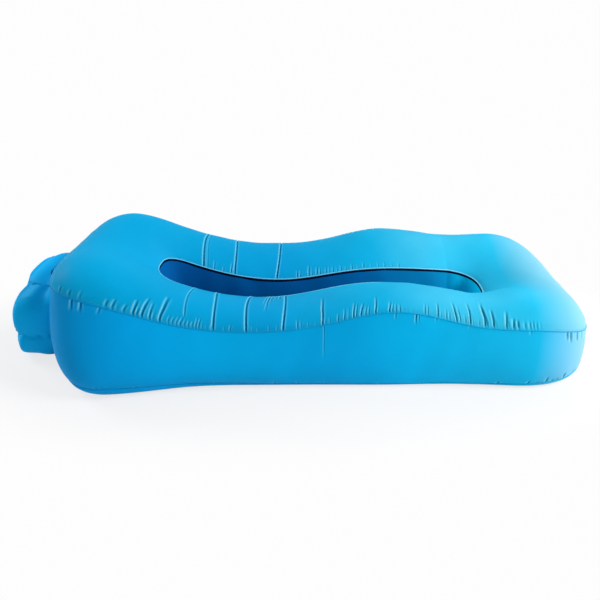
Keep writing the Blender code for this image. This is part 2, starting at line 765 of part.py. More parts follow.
def block(name, low, high, collection, material=None):
    """A box between two corners, given in the buckle's own directions: x through its
    thickness, y along it from the socket's mouth, z across its width."""
    mesh = bpy.data.meshes.new(name)
    shape = bmesh.new()
    bmesh.ops.create_cube(shape, size=1.0)
    for vert in shape.verts:
        for axis in range(3):
            vert.co[axis] = low[axis] + (vert.co[axis] + 0.5) * (high[axis] - low[axis])
    shape.to_mesh(mesh)
    shape.free()
    item = add_object(name, mesh, collection, material)
    item.location = (ROLL_END_X, BUCKLE_Y, ROLL_HEIGHT)
    return item


def cutter(name, low, high):
    item = block(name, low, high, cutters)
    item.hide_render = True
    item.display_type = "WIRE"
    return item


def combine(item, other, operation):
    step = item.modifiers.new(operation.lower(), "BOOLEAN")
    step.operation = operation
    step.solver = "EXACT"
    step.object = other


def round_edges(item, width):
    step = item.modifiers.new("rounded_edges", "BEVEL")
    step.width = width
    step.segments = 1
    step.limit_method = "ANGLE"


def make_buckle_socket():
    half_wide = 0.5 * BUCKLE_WIDTH
    half_thick = 0.5 * SOCKET_THICKNESS
    half_frame = 0.5 * FRAME_THICKNESS
    frame_end = SOCKET_LENGTH + FRAME_LENGTH
    body = block(
        "buckle_socket",
        (-half_thick, 0.0, -half_wide),
        (half_thick, SOCKET_LENGTH, half_wide),
        parts,
        plastic,
    )
    frame = cutter(
        "socket_frame",
        (-half_frame, SOCKET_LENGTH - SOCKET_WALL, -half_wide),
        (half_frame, frame_end, half_wide),
    )
    round_edges(frame, BUCKLE_ROUND)
    round_edges(body, BUCKLE_ROUND)
    combine(body, frame, "UNION")
    cavity = cutter(
        "socket_cavity",
        (-half_thick + SOCKET_WALL, -SOCKET_WALL, -half_wide + SOCKET_WALL),
        (half_thick - SOCKET_WALL, SOCKET_DEPTH, half_wide - SOCKET_WALL),
    )
    combine(body, cavity, "DIFFERENCE")
    window = cutter(
        "socket_windows",
        (-0.5 * WINDOW_THICKNESS, WINDOW_START, -half_wide - SOCKET_WALL),
        (0.5 * WINDOW_THICKNESS, WINDOW_END, half_wide + SOCKET_WALL),
    )
    combine(body, window, "DIFFERENCE")
    slot_start = frame_end - BAR_LENGTH - STRAP_SLOT_LENGTH
    slot = cutter(
        "socket_strap_slot",
        (-half_thick, slot_start, -0.5 * STRAP_SLOT_WIDTH),
        (half_thick, slot_start + STRAP_SLOT_LENGTH, 0.5 * STRAP_SLOT_WIDTH),
    )
    combine(body, slot, "DIFFERENCE")
    return body


def make_buckle_plug():
    half_wide = 0.5 * BUCKLE_WIDTH
    half_frame = 0.5 * FRAME_THICKNESS
    body = block(
        "buckle_plug",
        (-half_frame, -PLUG_LENGTH, -half_wide),
        (half_frame, -SEAT_GAP, half_wide),
        parts,
        plastic,
    )
    round_edges(body, BUCKLE_ROUND)
    tongue = cutter(
        "plug_tongue",
        (-0.5 * TONGUE_THICKNESS, -BAR_LENGTH, -0.5 * TONGUE_WIDTH),
        (0.5 * TONGUE_THICKNESS, TONGUE_LENGTH, 0.5 * TONGUE_WIDTH),
    )
    combine(body, tongue, "UNION")
    slot_start = -PLUG_LENGTH + BAR_LENGTH
    slot = cutter(
        "plug_strap_slot",
        (-half_frame - SOCKET_WALL, slot_start, -0.5 * STRAP_SLOT_WIDTH),
        (half_frame + SOCKET_WALL, slot_start + STRAP_SLOT_LENGTH, 0.5 * STRAP_SLOT_WIDTH),
    )
    combine(body, slot, "DIFFERENCE")
    return body


def make_prong(name, side):
    """One springy arm with its barb, drawn from the side in the y-z plane about its root."""
    inner = -0.5 * PRONG_ARM_WIDTH
    outer = 0.5 * PRONG_ARM_WIDTH
    barb = BARB_TOP_Z - PRONG_PIVOT_Z
    outline = (
        (0.0, inner),
        (PRONG_LENGTH, inner),
        (PRONG_LENGTH, outer),
        (0.5 * (PRONG_LENGTH + BARB_START), barb),
        (BARB_START, barb),
        (BARB_START, outer),
        (0.0, outer),
    )
    data = bpy.data.curves.new(name, "CURVE")
    data.dimensions = "2D"
    data.fill_mode = "BOTH"
    data.extrude = 0.5 * PRONG_THICKNESS
    spline = data.splines.new("POLY")
    spline.points.add(len(outline) - 1)
    for spot, (along, out) in zip(spline.points, outline):
        spot.co = (along, side * out, 0.0, 1.0)
    spline.use_cyclic_u = True
    item = add_object(name, data, parts, plastic)
    item.rotation_euler = (RIGHT_ANGLE, 0.0, RIGHT_ANGLE)
    item.location = (ROLL_END_X, BUCKLE_Y, ROLL_HEIGHT + side * PRONG_PIVOT_Z)
    return item


def make_peg_loop():
    """A webbing loop along the top seam by the far foot corner. Its ends lie against the
    seam, and its middle bows away from it."""
    places = np.linspace(-0.5, 0.5, LOOP_STEPS + 1)
    corner = Sections(*foot_fan(LOOP_ANGLE + LOOP_TURN * places, 1.0))
    line = seam_line(corner, 1.0)
    along = np.gradient(line[:, :2], axis=0)
    along /= np.linalg.norm(along, axis=1)[:, None]
    outward = np.stack([-along[:, 1], along[:, 0]], axis=1)
    outward *= np.sign(np.sum(outward * line[:, :2]))
    inner = SEAM_RADIUS + SEAT_GAP + LOOP_STAND_OFF * np.cos(math.pi * places)
    rings = []
    for reach, rise in ((inner, -0.5), (inner + STRAP_THICKNESS, -0.5)):
        low = line.copy()
        low[:, :2] += outward * reach[:, None]
        low[:, 2] += rise * LOOP_WIDTH
        rings.append(low)
    high = [ring_points + np.array([0.0, 0.0, LOOP_WIDTH]) for ring_points in rings[::-1]]
    item = add_object("peg_loop", capped_loft("peg_loop", rings + high), parts, webbing)
    return item


clear_scene()
parts = new_collection(COLLECTION_NAME, True)
cutters = new_collection(CUTTER_COLLECTION_NAME, False)
sky_fabric = new_material("sky_fabric", SKY_BLUE, 0.45, 0.3)
wall_fabric = new_material("wall_fabric", WALL_BLUE, 0.45, 0.3)
deep_fabric = new_material("deep_fabric", DEEP_BLUE, 0.5, 0.2)
deep_seam = new_material("deep_seam", DEEP_BLUE, 0.6)
seam_fabric = new_material("seam_fabric", SEAM_BLUE, 0.5)
sleeve_fabric = new_material("sleeve_fabric", SLEEVE_BLUE, 0.45, 0.3)
roll_fabric = new_material("roll_fabric", ROLL_NAVY, 0.55, 0.1)
webbing = new_material("webbing", WEBBING_NAVY, 0.8)
plastic = new_material("buckle_plastic", BUCKLE_BLACK, 0.4)

ring = ring_sections()
make_top_panel()
make_side_wall("side_wall_near", -1.0)
make_side_wall("side_wall_far", 1.0)
make_bottom_panel()
make_slot_wall()
make_seams()
make_filling_sleeve()
make_mouth_roll()
make_mouth_strap()
make_buckle_socket()
make_buckle_plug()
make_prong("plug_prong_upper", 1.0)
make_prong("plug_prong_lower", -1.0)
make_peg_loop()
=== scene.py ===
"""An air lounger in sky-blue ripstop fabric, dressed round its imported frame: puckered panels
sewn to piped seams, a folded filling sleeve, a rolled mouth, webbing and a buckle.
Metres, +Z up. The head is at -X, the foot at +X, and the near side at -Y."""

import math

import bmesh
import bpy
import numpy as np
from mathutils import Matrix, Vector


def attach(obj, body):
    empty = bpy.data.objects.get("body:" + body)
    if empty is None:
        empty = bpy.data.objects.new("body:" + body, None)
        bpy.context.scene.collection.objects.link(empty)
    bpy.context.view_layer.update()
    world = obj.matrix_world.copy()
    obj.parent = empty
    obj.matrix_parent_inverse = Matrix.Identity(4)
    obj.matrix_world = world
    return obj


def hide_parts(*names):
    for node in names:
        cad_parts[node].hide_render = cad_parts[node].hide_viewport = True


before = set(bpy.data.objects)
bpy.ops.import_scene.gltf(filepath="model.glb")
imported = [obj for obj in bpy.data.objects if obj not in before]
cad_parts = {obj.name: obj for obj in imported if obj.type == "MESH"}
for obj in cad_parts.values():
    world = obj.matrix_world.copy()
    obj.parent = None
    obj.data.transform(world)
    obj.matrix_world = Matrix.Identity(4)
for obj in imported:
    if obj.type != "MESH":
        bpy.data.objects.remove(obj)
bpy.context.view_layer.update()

# Photograph's viewpoint
CAMERA_PLACE = (0.1137, -1.8286, 1.0759)
CAMERA_AHEAD = (0.00065, 0.8980, -0.4400)
CAMERA_LENS = 33.06
CAMERA_SENSOR = 36.0
CAMERA_SHIFT = (-0.0394, -0.0197)

# Plan of the chamber: a straight spine with a rounded fan of sections at each end
SPINE_HEAD_X = -0.382
SPINE_FOOT_X = 0.591
BODY_CENTRE_X = 0.115
HALF_SPAN = 0.92
HEAD_REACH = 0.396
FOOT_REACH = 0.411
WAIST_HALF_WIDTH = 0.364
SEAM_HEIGHT = 0.300
RIM_HEIGHT = 0.300
CROWN = 0.100
SLOT_HALF_WIDTH = 0.090
RIM_OVERHANG = 0.100
CORNER_POWER = 4.0
SLOT_CORNER_POWER = 2.8
HALF_WIDTH_SHARES = (1.025, 1.005, 1.0, 1.0, 1.046, 1.088)
SEAM_HEIGHT_SHARES = (1.045, 0.992, 0.77, 0.686, 0.768, 0.922, 0.78, 0.714, 0.51)
RIM_HEIGHT_SHARES = (0.938, 0.665, 0.615, 0.751, 0.754, 0.619)
CROWN_SHARES = (0.85, 0.62, 0.43, 0.34, 0.695, 0.80)
SLOT_WIDTH_SHARES = (1.03, 0.83, 0.68, 1.16)
CROWN_FULL_BAND = 0.300
CROWN_LEAST_SHARE = 0.5
CROWN_MOST_SHARE = 1.6
CROWN_OUTWARD_POWER = 0.8
CROWN_FULLNESS_POWER = 0.8
SIDE_BULGE = 0.020
SIDE_BULGE_SHARES = (1.5, 1.6, 1.2, 1.0, 0.9, 0.3)
HEAD_BULGE = 0.025
FOOT_BULGE = 0.005
BULGE_LOW_POWER = 0.75
BASE_OUTREACH = 0.090
BASE_OUTREACH_SHARES = (0.95, 1.05, 0.36, 0.08, 0.0, -0.05, -0.18, 0.04, 0.06)
HEAD_END_OUTREACH = -0.020
FOOT_END_OUTREACH = 0.002
BASE_SEAM_HEIGHT = 0.040
BASE_SEAM_SHARES = (1.3, 1.1, 0.5, 0.3, 0.4, 0.9)
HEAD_BASE_SEAM_HEIGHT = 0.060
FOOT_BASE_SEAM_HEIGHT = 0.036
FOOT_END_DIP = 0.012
END_START_SHARE = 0.40
END_FULL_SHARE = 0.95
BASE_CURVE_MARGIN = 0.010
BASE_CURVE_RATIO = 1.3
SLOT_WALL_BULGE = 0.016
FLOOR_GAP = 0.0033

# Fabric and piping
CLOTH = 0.0006
PIPING_RADIUS = 0.0017
RIM_RADIUS = 0.0022
# The band under the rim is painted shade, standing in for the shadow of the overhanging rim
RIM_SHADE_DROP = 0.0095
FAN_ARC = 0.42
SEAM_STITCH_OFFSET = 0.0055
RIM_STITCH_OFFSET = 0.0060
STITCH_PITCH = 0.0052
STITCH_LENGTH = 0.0036
STITCH_WIDTH = 0.0007
STITCH_LOOK = 0.001
CORD_SIDES = 12
CORD_SWELL = 0.05
CORD_SWELL_PITCH = 0.011
UPRIGHT_SEAM_END = 0.012
RIM_SHADE_PROUD = 0.0005
RIM_SHADE_BULGE = 0.0012

# Profiles from nought to one, as stretches of even steps: the share at each end, and its steps
TOP_STRETCHES = ((0.22, 11), (0.86, 14), (1.0, 7))
WALL_STRETCHES = ((0.2, 7), (0.76, 13), (1.0, 11))
JOIN_DISTANCE = 0.00003
BASE_SHARES = np.array((0.0, 0.25, 0.5, 0.75, 0.92, 1.0))

# Filling sleeve
SLEEVE_HALF_WIDTH = 0.190
SLEEVE_LENGTH = 0.180
SLEEVE_SWELL = 0.028
SLEEVE_LIP = 0.008
SLEEVE_TOP_DROP = 0.014
NECK_STEPS = 40
SLEEVE_SAMPLES = 121
MOUTH_HALF_WIDTH = 0.112
MOUTH_HALF_HEIGHT = 0.006
SLEEVE_TOP_POWER = 0.70
SLEEVE_LOW_POWER = 0.40
FOLD_HEIGHT_SHARES = (0.335, 0.912)
LOBE_TOP_SHARE = 0.957
FOLDED_RINGS = 6
FOLD_END_SHARES = (0.12, 0.18)
SLEEVE_LEAN = 0.234
SLEEVE_LEAN_HEIGHT = 0.212
SLEEVE_LEAN_REACH = 0.10
FOLD_SIDE_SHARE = 0.05
FOLD_LINE_HALF_WIDTH = 0.0040
FOLD_LINE_DEPTH = 0.0090
FOLD_LINE_FADE = 0.03
WRINKLE_HEIGHT = 0.0012
WRINKLE_REACH = 0.035
WRINKLE_START = 0.01
GATHER_HEIGHT = 0.0016
GATHER_OUT = 0.05
GATHER_REACH = 0.04
FLOOR_CALM = 0.02
LOBE_POWER = 0.52
TOP_LOBE_START = 0.238
TOP_LOBE_RISE = 0.020
TOP_LOBE_BACK = 0.006
TOP_LOBE_NARROWER = 0.12
SLEEVE_RING_SHARES = (
    (0.22, 0.97, 0.00, 0.985),
    (0.48, 1.00, 0.00, 0.985),
    (0.68, 0.985, 0.00, 0.985),
    (0.80, 0.95, 0.00, 0.962),
    (0.865, 0.865, 0.00, 0.955),
    (0.885, 0.845, 0.04, 0.77),
    (0.88, 0.75, 0.13, 0.58),
    (0.86, 0.71, 0.165, 0.455),
    (0.81, 0.65, 0.18, 0.395),
)

# Rolled mouth, strap and webbing loop
ROLL_HEIGHT_SHARE = 0.27
ROLL_HEIGHT = ROLL_HEIGHT_SHARE * SEAM_HEIGHT
ROLL_HALF_THICKNESS = 0.012
ROLL_HALF_HEIGHT = 0.024
ROLL_BEND_RADIUS = 0.020
ROLL_STRAIGHT_HALF = 0.118
ROLL_END_Y = 0.052
ROLL_REACH = 0.154
ROLL_TURNS = 3.5
ROLL_PLY = 0.0011
ROLL_SHRINK = 0.80
ROLL_STEP = 0.0022
SPIRAL_POINTS = 150
BEND_STEPS = 18
ROLL_MIDDLE_X = SPINE_HEAD_X - HEAD_REACH - ROLL_REACH
ROLL_END_X = ROLL_MIDDLE_X - 2.0 * ROLL_BEND_RADIUS
STRAP_WIDTH = 0.025
STRAP_THICKNESS = 0.0012
BAND_SIDES = 20
BUCKLE_Y = -0.014
BAR_LENGTH = 0.0035
PLUG_LENGTH = 0.0175
SOCKET_LENGTH = 0.034
FRAME_LENGTH = 0.012
FRAME_THICKNESS = 0.005
SEAT_GAP = 0.0003
LOOP_ANGLE = math.radians(42.0)
LOOP_TURN = math.radians(16.0)
LOOP_STAND_OFF = 0.012
LOOP_WIDTH = 0.020

RIGHT_ANGLE = 0.5 * math.pi
TURN = 2.0 * math.pi
BODY = "chamber"

# Sizes of a crease by its strength, and its shape. A wave is the height of a crease's wander,
# its rate along the crease and its rate from place to place
CREASE_WIDTHS = (0.0, 0.0019, 0.0021, 0.0024, 0.0027)
CREASE_DEPTHS = (0.0, 0.0015, 0.0027, 0.0038, 0.0046)
FAN_CREASE_SCALE = 1.5
HEAD_SHOULDER = 0.50
FOOT_SHOULDER = 0.16
SHOULDER_PLACE = 1.7
PUCKER_START = 0.006
PUCKER_FADE_POWER = 0.6
PUCKER_WAVE = (0.2, 90.0, 40.0)
PUCKER_WIDENING = (0.85, 0.3)
LONG_SHALLOWING = 0.35
LONG_START = 0.03
LONG_END = 0.015
LONG_WAVE = (0.003, 5.0, 30.0)
LEAN_REACH = 0.1
CREASE_SPREAD = 0.09

# Creases of the near half of the top panel from its outer seam, in millimetres: place along
# the panel, reach across it, strength, and lean for each 10 cm of reach where it leans
NEAR_PUCKERS = (
    (-540, 38, 2, 10), (-526, 18, 1, 20), (-508, 30, 2, 30), (-477, 55, 3, 10), (-466, 31, 2, 20),
    (-450, 70, 3, 20), (-422, 59, 2, 10), (-412, 28, 1, 30), (-389, 100, 3, 20),
    (-364, 28, 2, 30), (-353, 28, 2, 40), (-341, 31, 2, 40), (-330, 31, 3, 40), (-318, 24, 2, 40),
    (-305, 26, 2, 30), (-293, 26, 2, 30), (-281, 39, 2, 20), (-272, 39, 2, 20), (-262, 22, 1, 30),
    (-247, 15, 1, 20), (-233, 23, 2, 20), (-192, 18, 1, 10), (-177, 23, 2, 30), (-106, 22, 1, 10),
    (-88, 17, 1, 10), (-53, 23, 1), (-29, 20, 1, 10), (34, 37, 2), (45, 32, 1), (67, 21, 1, 10),
    (91, 15, 1, 10), (112, 144, 4), (121, 24, 1), (134, 24, 1), (158, 31, 2, 10),
    (177, 48, 2, 10), (190, 48, 1, 10), (205, 70, 3, 10), (214, 61, 2, 10), (227, 57, 3, 20),
    (241, 38, 2, 20), (252, 39, 2, 10), (272, 78, 3, 10), (280, 29, 1, 10), (312, 47, 3, 20),
    (321, 38, 2, 20), (333, 34, 2, 10), (345, 30, 2, 10), (357, 15, 1, 10), (385, 15, 1),
    (421, 43, 2, 10), (430, 43, 2, 10), (460, 55, 3, 10), (470, 23, 1, 10), (486, 34, 2, 10),
    (496, 31, 2, 10), (520, 72, 4, -10), (532, 57, 2, -10), (548, 29, 2, -10), (562, 82, 4),
    (571, 44, 1, -10), (589, 21, 2), (609, 90, 4), (618, 70, 2, -10), (637, 66, 3, 10),
    (649, 31, 1, -10), (678, 60, 3, 30), (689, 31, 1, 10), (702, 39, 3, 30), (720, 33, 3, 10),
    (740, 26, 2, 20), (755, 28, 2, 20), (765, 29, 2, 20), (775, 26, 2, 20), (786, 23, 1, 20),
    (822, 17, 2, 20), (830, 18, 1, 20), (870, 9, 1), (945, 10, 1, 10),
)

# Long creases across the whole of a band, in metres: place at the outer seam, strength, lean,
# share of the band at which it starts
NEAR_FOLDS = (
    (-0.310, 2, -0.007, 0.12),
    (-0.224, 4, -0.010, 0.0),
    (-0.126, 4, -0.004, 0.0),
    (-0.010, 4, -0.002, 0.0),
)
FAR_FOLDS = (
    (-0.361, 4, 0.006, 0.0),
    (-0.347, 1, 0.006, 0.0),
    (-0.247, 4, 0.008, 0.0),
    (-0.058, 4, -0.002, 0.0),
)

# Creases from the rim of the slot, in the same way
NEAR_RIM_PUCKERS = (
    (-246, 130, 1), (-79, 180, 2), (-70, 220, 3), (-61, 170, 2), (-46, 120, 2), (-35, 110, 3),
    (140, 30, 1), (330, 30, 1),
)
FAR_RIM_PUCKERS = (
    (-303, 44, 2), (-268, 26, 2), (-239, 55, 2), (-232, 26, 1), (14, 39, 2), (27, 39, 2),
    (59, 60, 3), (71, 44, 1), (90, 44, 3), (102, 40, 2), (124, 34, 2), (136, 40, 1), (150, 34, 2),
    (165, 28, 1), (180, 34, 2), (199, 28, 1), (222, 34, 2), (244, 28, 1), (266, 33, 2),
    (293, 28, 1), (320, 33, 1), (345, 27, 2), (373, 27, 1), (399, 27, 2),
)

# Creases of the near wall below its top seam, in the same way
WALL_PUCKERS = (
    (-657, 34, 2, 20), (-630, 30, 2, 20), (-574, 24, 1), (116, 110, 1), (333, 22, 2),
    (396, 30, 4), (404, 26, 2), (457, 16, 1), (560, 16, 1), (760, 14, 1), (872, 30, 2),
    (886, 38, 3), (912, 34, 3), (935, 30, 2),
)

# Where the near tables start and end, and the puckers that fill the unseen stretches: seed of
# the draw, pitch and usual reach
NEAR_START = -0.56
NEAR_END = 0.95
LOW_SIDE_END = 0.78
LOW_FOOT_START = 0.80
HEAD_FILLER = (3, 0.034, 0.022)
FOOT_FILLER = (4, 0.030, 0.022)
FAR_FILLER = (5, 0.017, 0.030)
FAR_WALL_FILLER = (6, 0.040, 0.022)
LOW_FOOT_FILLER = (7, 0.022, 0.022)
LOW_SIDE_FILLER = (8, 0.090, 0.014)

# Broad unevenness. Each wave is its share of the height, its rates along x, y and z, and its
# shift. Each piece has a height of swell and how far from an edge that fades in
SWELL_WAVES = (
    (1.0, 21.0, 7.0, 0.0, 0.4),
    (0.8, 33.0, -19.0, 11.0, 1.9),
    (0.6, 47.0, 31.0, -15.0, 4.1),
    (0.5, -62.0, 41.0, 23.0, 0.7),
)
SWELL_WAVES_SUM = 2.9
TOP_SWELL = (0.0016, 0.04)
WALL_SWELL = (0.0014, 0.035)
SLEEVE_SWELLING = (0.0022, 0.05)
WELL_SWELL = 0.0020
WELL_RIPPLE = 0.0014
WELL_FADE = 0.03

# Light: name, place, aim, width and power of each softbox
AIR_STRENGTH = 0.36
WHITE_SEEN = 0.985
SOFTBOXES = (
    ("key_softbox", (3.4, -1.2, 2.4), (0.5, 0.0, 0.2), 1.8, 165.0),
    ("back_softbox", (1.8, 2.4, 2.6), (0.3, 0.0, 0.2), 1.6, 52.0),
    ("fill_softbox", (-3.2, 0.9, 1.9), (-0.9, 0.0, 0.15), 1.4, 52.0),
)
FLOOR_HALF = 40.0
FLOOR_DROP = 0.0006
FLOOR_GREY = (0.86, 0.86, 0.86)
PATCH_SCALE = (0.92, 1.75, 1.0)
PATCH_FADE = (1.35, 1.0)
SHADOW_SHARE = 0.24

# Finishes, as linear colours. A cloth's tones are x along the lounger and the colour there
# SKY is painted light along x: each stretch is set to how brightly it is lit, and the foot end is
# pale as a painted highlight
SKY = (
    (-0.8, (0.0004, 0.37, 0.72)),
    (-0.62, (0.0004, 0.345, 0.66)),
    (-0.45, (0.0004, 0.32, 0.61)),
    (-0.05, (0.0006, 0.295, 0.6)),
    (0.3, (0.002, 0.38, 0.67)),
    (0.5, (0.03, 0.415, 0.64)),
    (0.77, (0.013, 0.44, 0.7)),
    (0.87, (0.12, 0.44, 0.6)),
    (0.97, (0.23, 0.46, 0.6)),
)
# WALL_SKY is the same cloth as SKY with its own painted light along x: darker at the head, lighter
# towards the foot, and pale at the foot end as a painted highlight
WALL_SKY = (
    (-0.85, (0.0004, 0.265, 0.67)),
    (-0.2, (0.0006, 0.4, 0.8)),
    (0.15, (0.0006, 0.365, 0.74)),
    (0.4, (0.001, 0.45, 0.82)),
    (0.78, (0.006, 0.43, 0.72)),
    (0.96, (0.23, 0.47, 0.63)),
)
# SLEEVE_SKY is painted light: the same cloth made brighter than the rest, to make up for the shade
# the body casts on the sleeve
SLEEVE_SKY = ((-0.9, (0.001, 0.46, 0.93)), (-0.78, (0.001, 0.4, 0.85)))
# WELL_BLUE is painted shade and light: navy for the shade inside the slot, lighter towards the
# foot and bright at the foot end where light reaches in
WELL_BLUE = (
    (-0.3, (0.0005, 0.106, 0.35)),
    (0.12, (0.0005, 0.12, 0.375)),
    (0.24, (0.0005, 0.152, 0.44)),
    (0.46, (0.001, 0.203, 0.447)),
    (0.53, (0.001, 0.205, 0.43)),
    (0.6, (0.001, 0.28, 0.535)),
    (0.66, (0.001, 0.69, 1.0)),
)
SEAM_SKY = ((-0.9, (0.001, 0.29, 0.64)), (0.9, (0.001, 0.36, 0.64)))
# RIM_SKY is a painted highlight: the rim's piping made paler than the cloth where light catches
# the rim's edge
RIM_SKY = ((-0.4, (0.12, 0.56, 0.78)), (0.6, (0.2, 0.64, 0.8)))
# The band under the rim is painted shade: near-black for the shadow the overhanging rim casts
RIM_SHADE_NAVY = ((-0.4, (0.001, 0.004, 0.022)), (0.6, (0.002, 0.005, 0.025)))
# ROLL_NAVY is painted shade: the rolled mouth made dark navy for the shade under the sleeve's
# lobes
ROLL_NAVY = ((-0.99, (0.003, 0.04, 0.15)), (-0.92, (0.003, 0.046, 0.165)))
THREAD_SKY = (0.01, 0.33, 0.64)
WEBBING_NAVY = (0.01, 0.022, 0.07)
BUCKLE_BLACK = (0.01, 0.011, 0.014)
CLOTH_ROUGHNESS = 0.45
CLOTH_BUMP = 0.8
CLOTH_SPECULAR = 0.03
SHEEN_ROUGHNESS = 0.35
SHEEN_TINT = (0.08, 0.78, 1.0)
# RIDGE_PALE is a painted highlight on the crests beside creases, and VALLEY_SHARE painted shade in
# their valleys
RIDGE_PALE = (0.200, 0.720, 0.880)
RIDGE_SHARE = 0.58
RIDGE_HEIGHT = 0.0012
VALLEY_DEPTH = 0.0026
VALLEY_SHARE = 0.55
TONE_LOW = -1.0
TONE_HIGH = 1.05

# Weave and unevenness of the cloth, and the webbing's ribs
WEAVE_THREAD = 0.0009
WEAVE_PITCH = 0.006
WEAVE_DEPTH = 0.00006
WEAVE_RIDGE_SHARE = 0.6
CRUMPLE_BROAD = 0.0006
CRUMPLE_SMALL = 0.00012
RIB_PITCH = 0.0016


# Curves and sections of the chamber


def even_curve(start, end, values):
    """A smooth curve through values at even steps: one cubic for each step, with slope and
    bend continuous, and the same cubic over the first two steps and over the last two."""
    heights = np.array(values, float)
    count = len(heights)
    step = (end - start) / (count - 1)
    matrix = np.zeros((count, count))
    right = np.zeros(count)
    matrix[0, :3] = (1.0, -2.0, 1.0)
    matrix[-1, -3:] = (1.0, -2.0, 1.0)
    for row in range(1, count - 1):
        matrix[row, row - 1 : row + 2] = (1.0, 4.0, 1.0)
        right[row] = 6.0 * (heights[row - 1] - 2.0 * heights[row] + heights[row + 1]) / step**2
    bends = np.linalg.solve(matrix, right)

    def value(place):
        place = np.asarray(place, float)
        cell = np.clip(np.floor((place - start) / step).astype(int), 0, count - 2)
        after = (place - start) / step - cell
        before = 1.0 - after
        bend = (before**3 - before) * bends[cell] + (after**3 - after) * bends[cell + 1]
        return before * heights[cell] + after * heights[cell + 1] + bend * step**2 / 6.0

    return value


def share_curve(size, shares, start=BODY_CENTRE_X - HALF_SPAN, end=BODY_CENTRE_X + HALF_SPAN):
    """A curve through shares of a size, over the whole span where no other is given."""
    return even_curve(start, end, [size * share for share in shares])


half_width = share_curve(WAIST_HALF_WIDTH, HALF_WIDTH_SHARES)
seam_height = share_curve(SEAM_HEIGHT, SEAM_HEIGHT_SHARES)
crown_height = share_curve(CROWN, CROWN_SHARES)
side_bulge = share_curve(SIDE_BULGE, SIDE_BULGE_SHARES)
base_outreach = share_curve(BASE_OUTREACH, BASE_OUTREACH_SHARES)
base_seam_height = share_curve(BASE_SEAM_HEIGHT, BASE_SEAM_SHARES)
slot_half_width = share_curve(SLOT_HALF_WIDTH, SLOT_WIDTH_SHARES, SPINE_HEAD_X, SPINE_FOOT_X)
rim_height = share_curve(
    RIM_HEIGHT, RIM_HEIGHT_SHARES, SPINE_HEAD_X - RIM_OVERHANG, SPINE_FOOT_X + RIM_OVERHANG
)


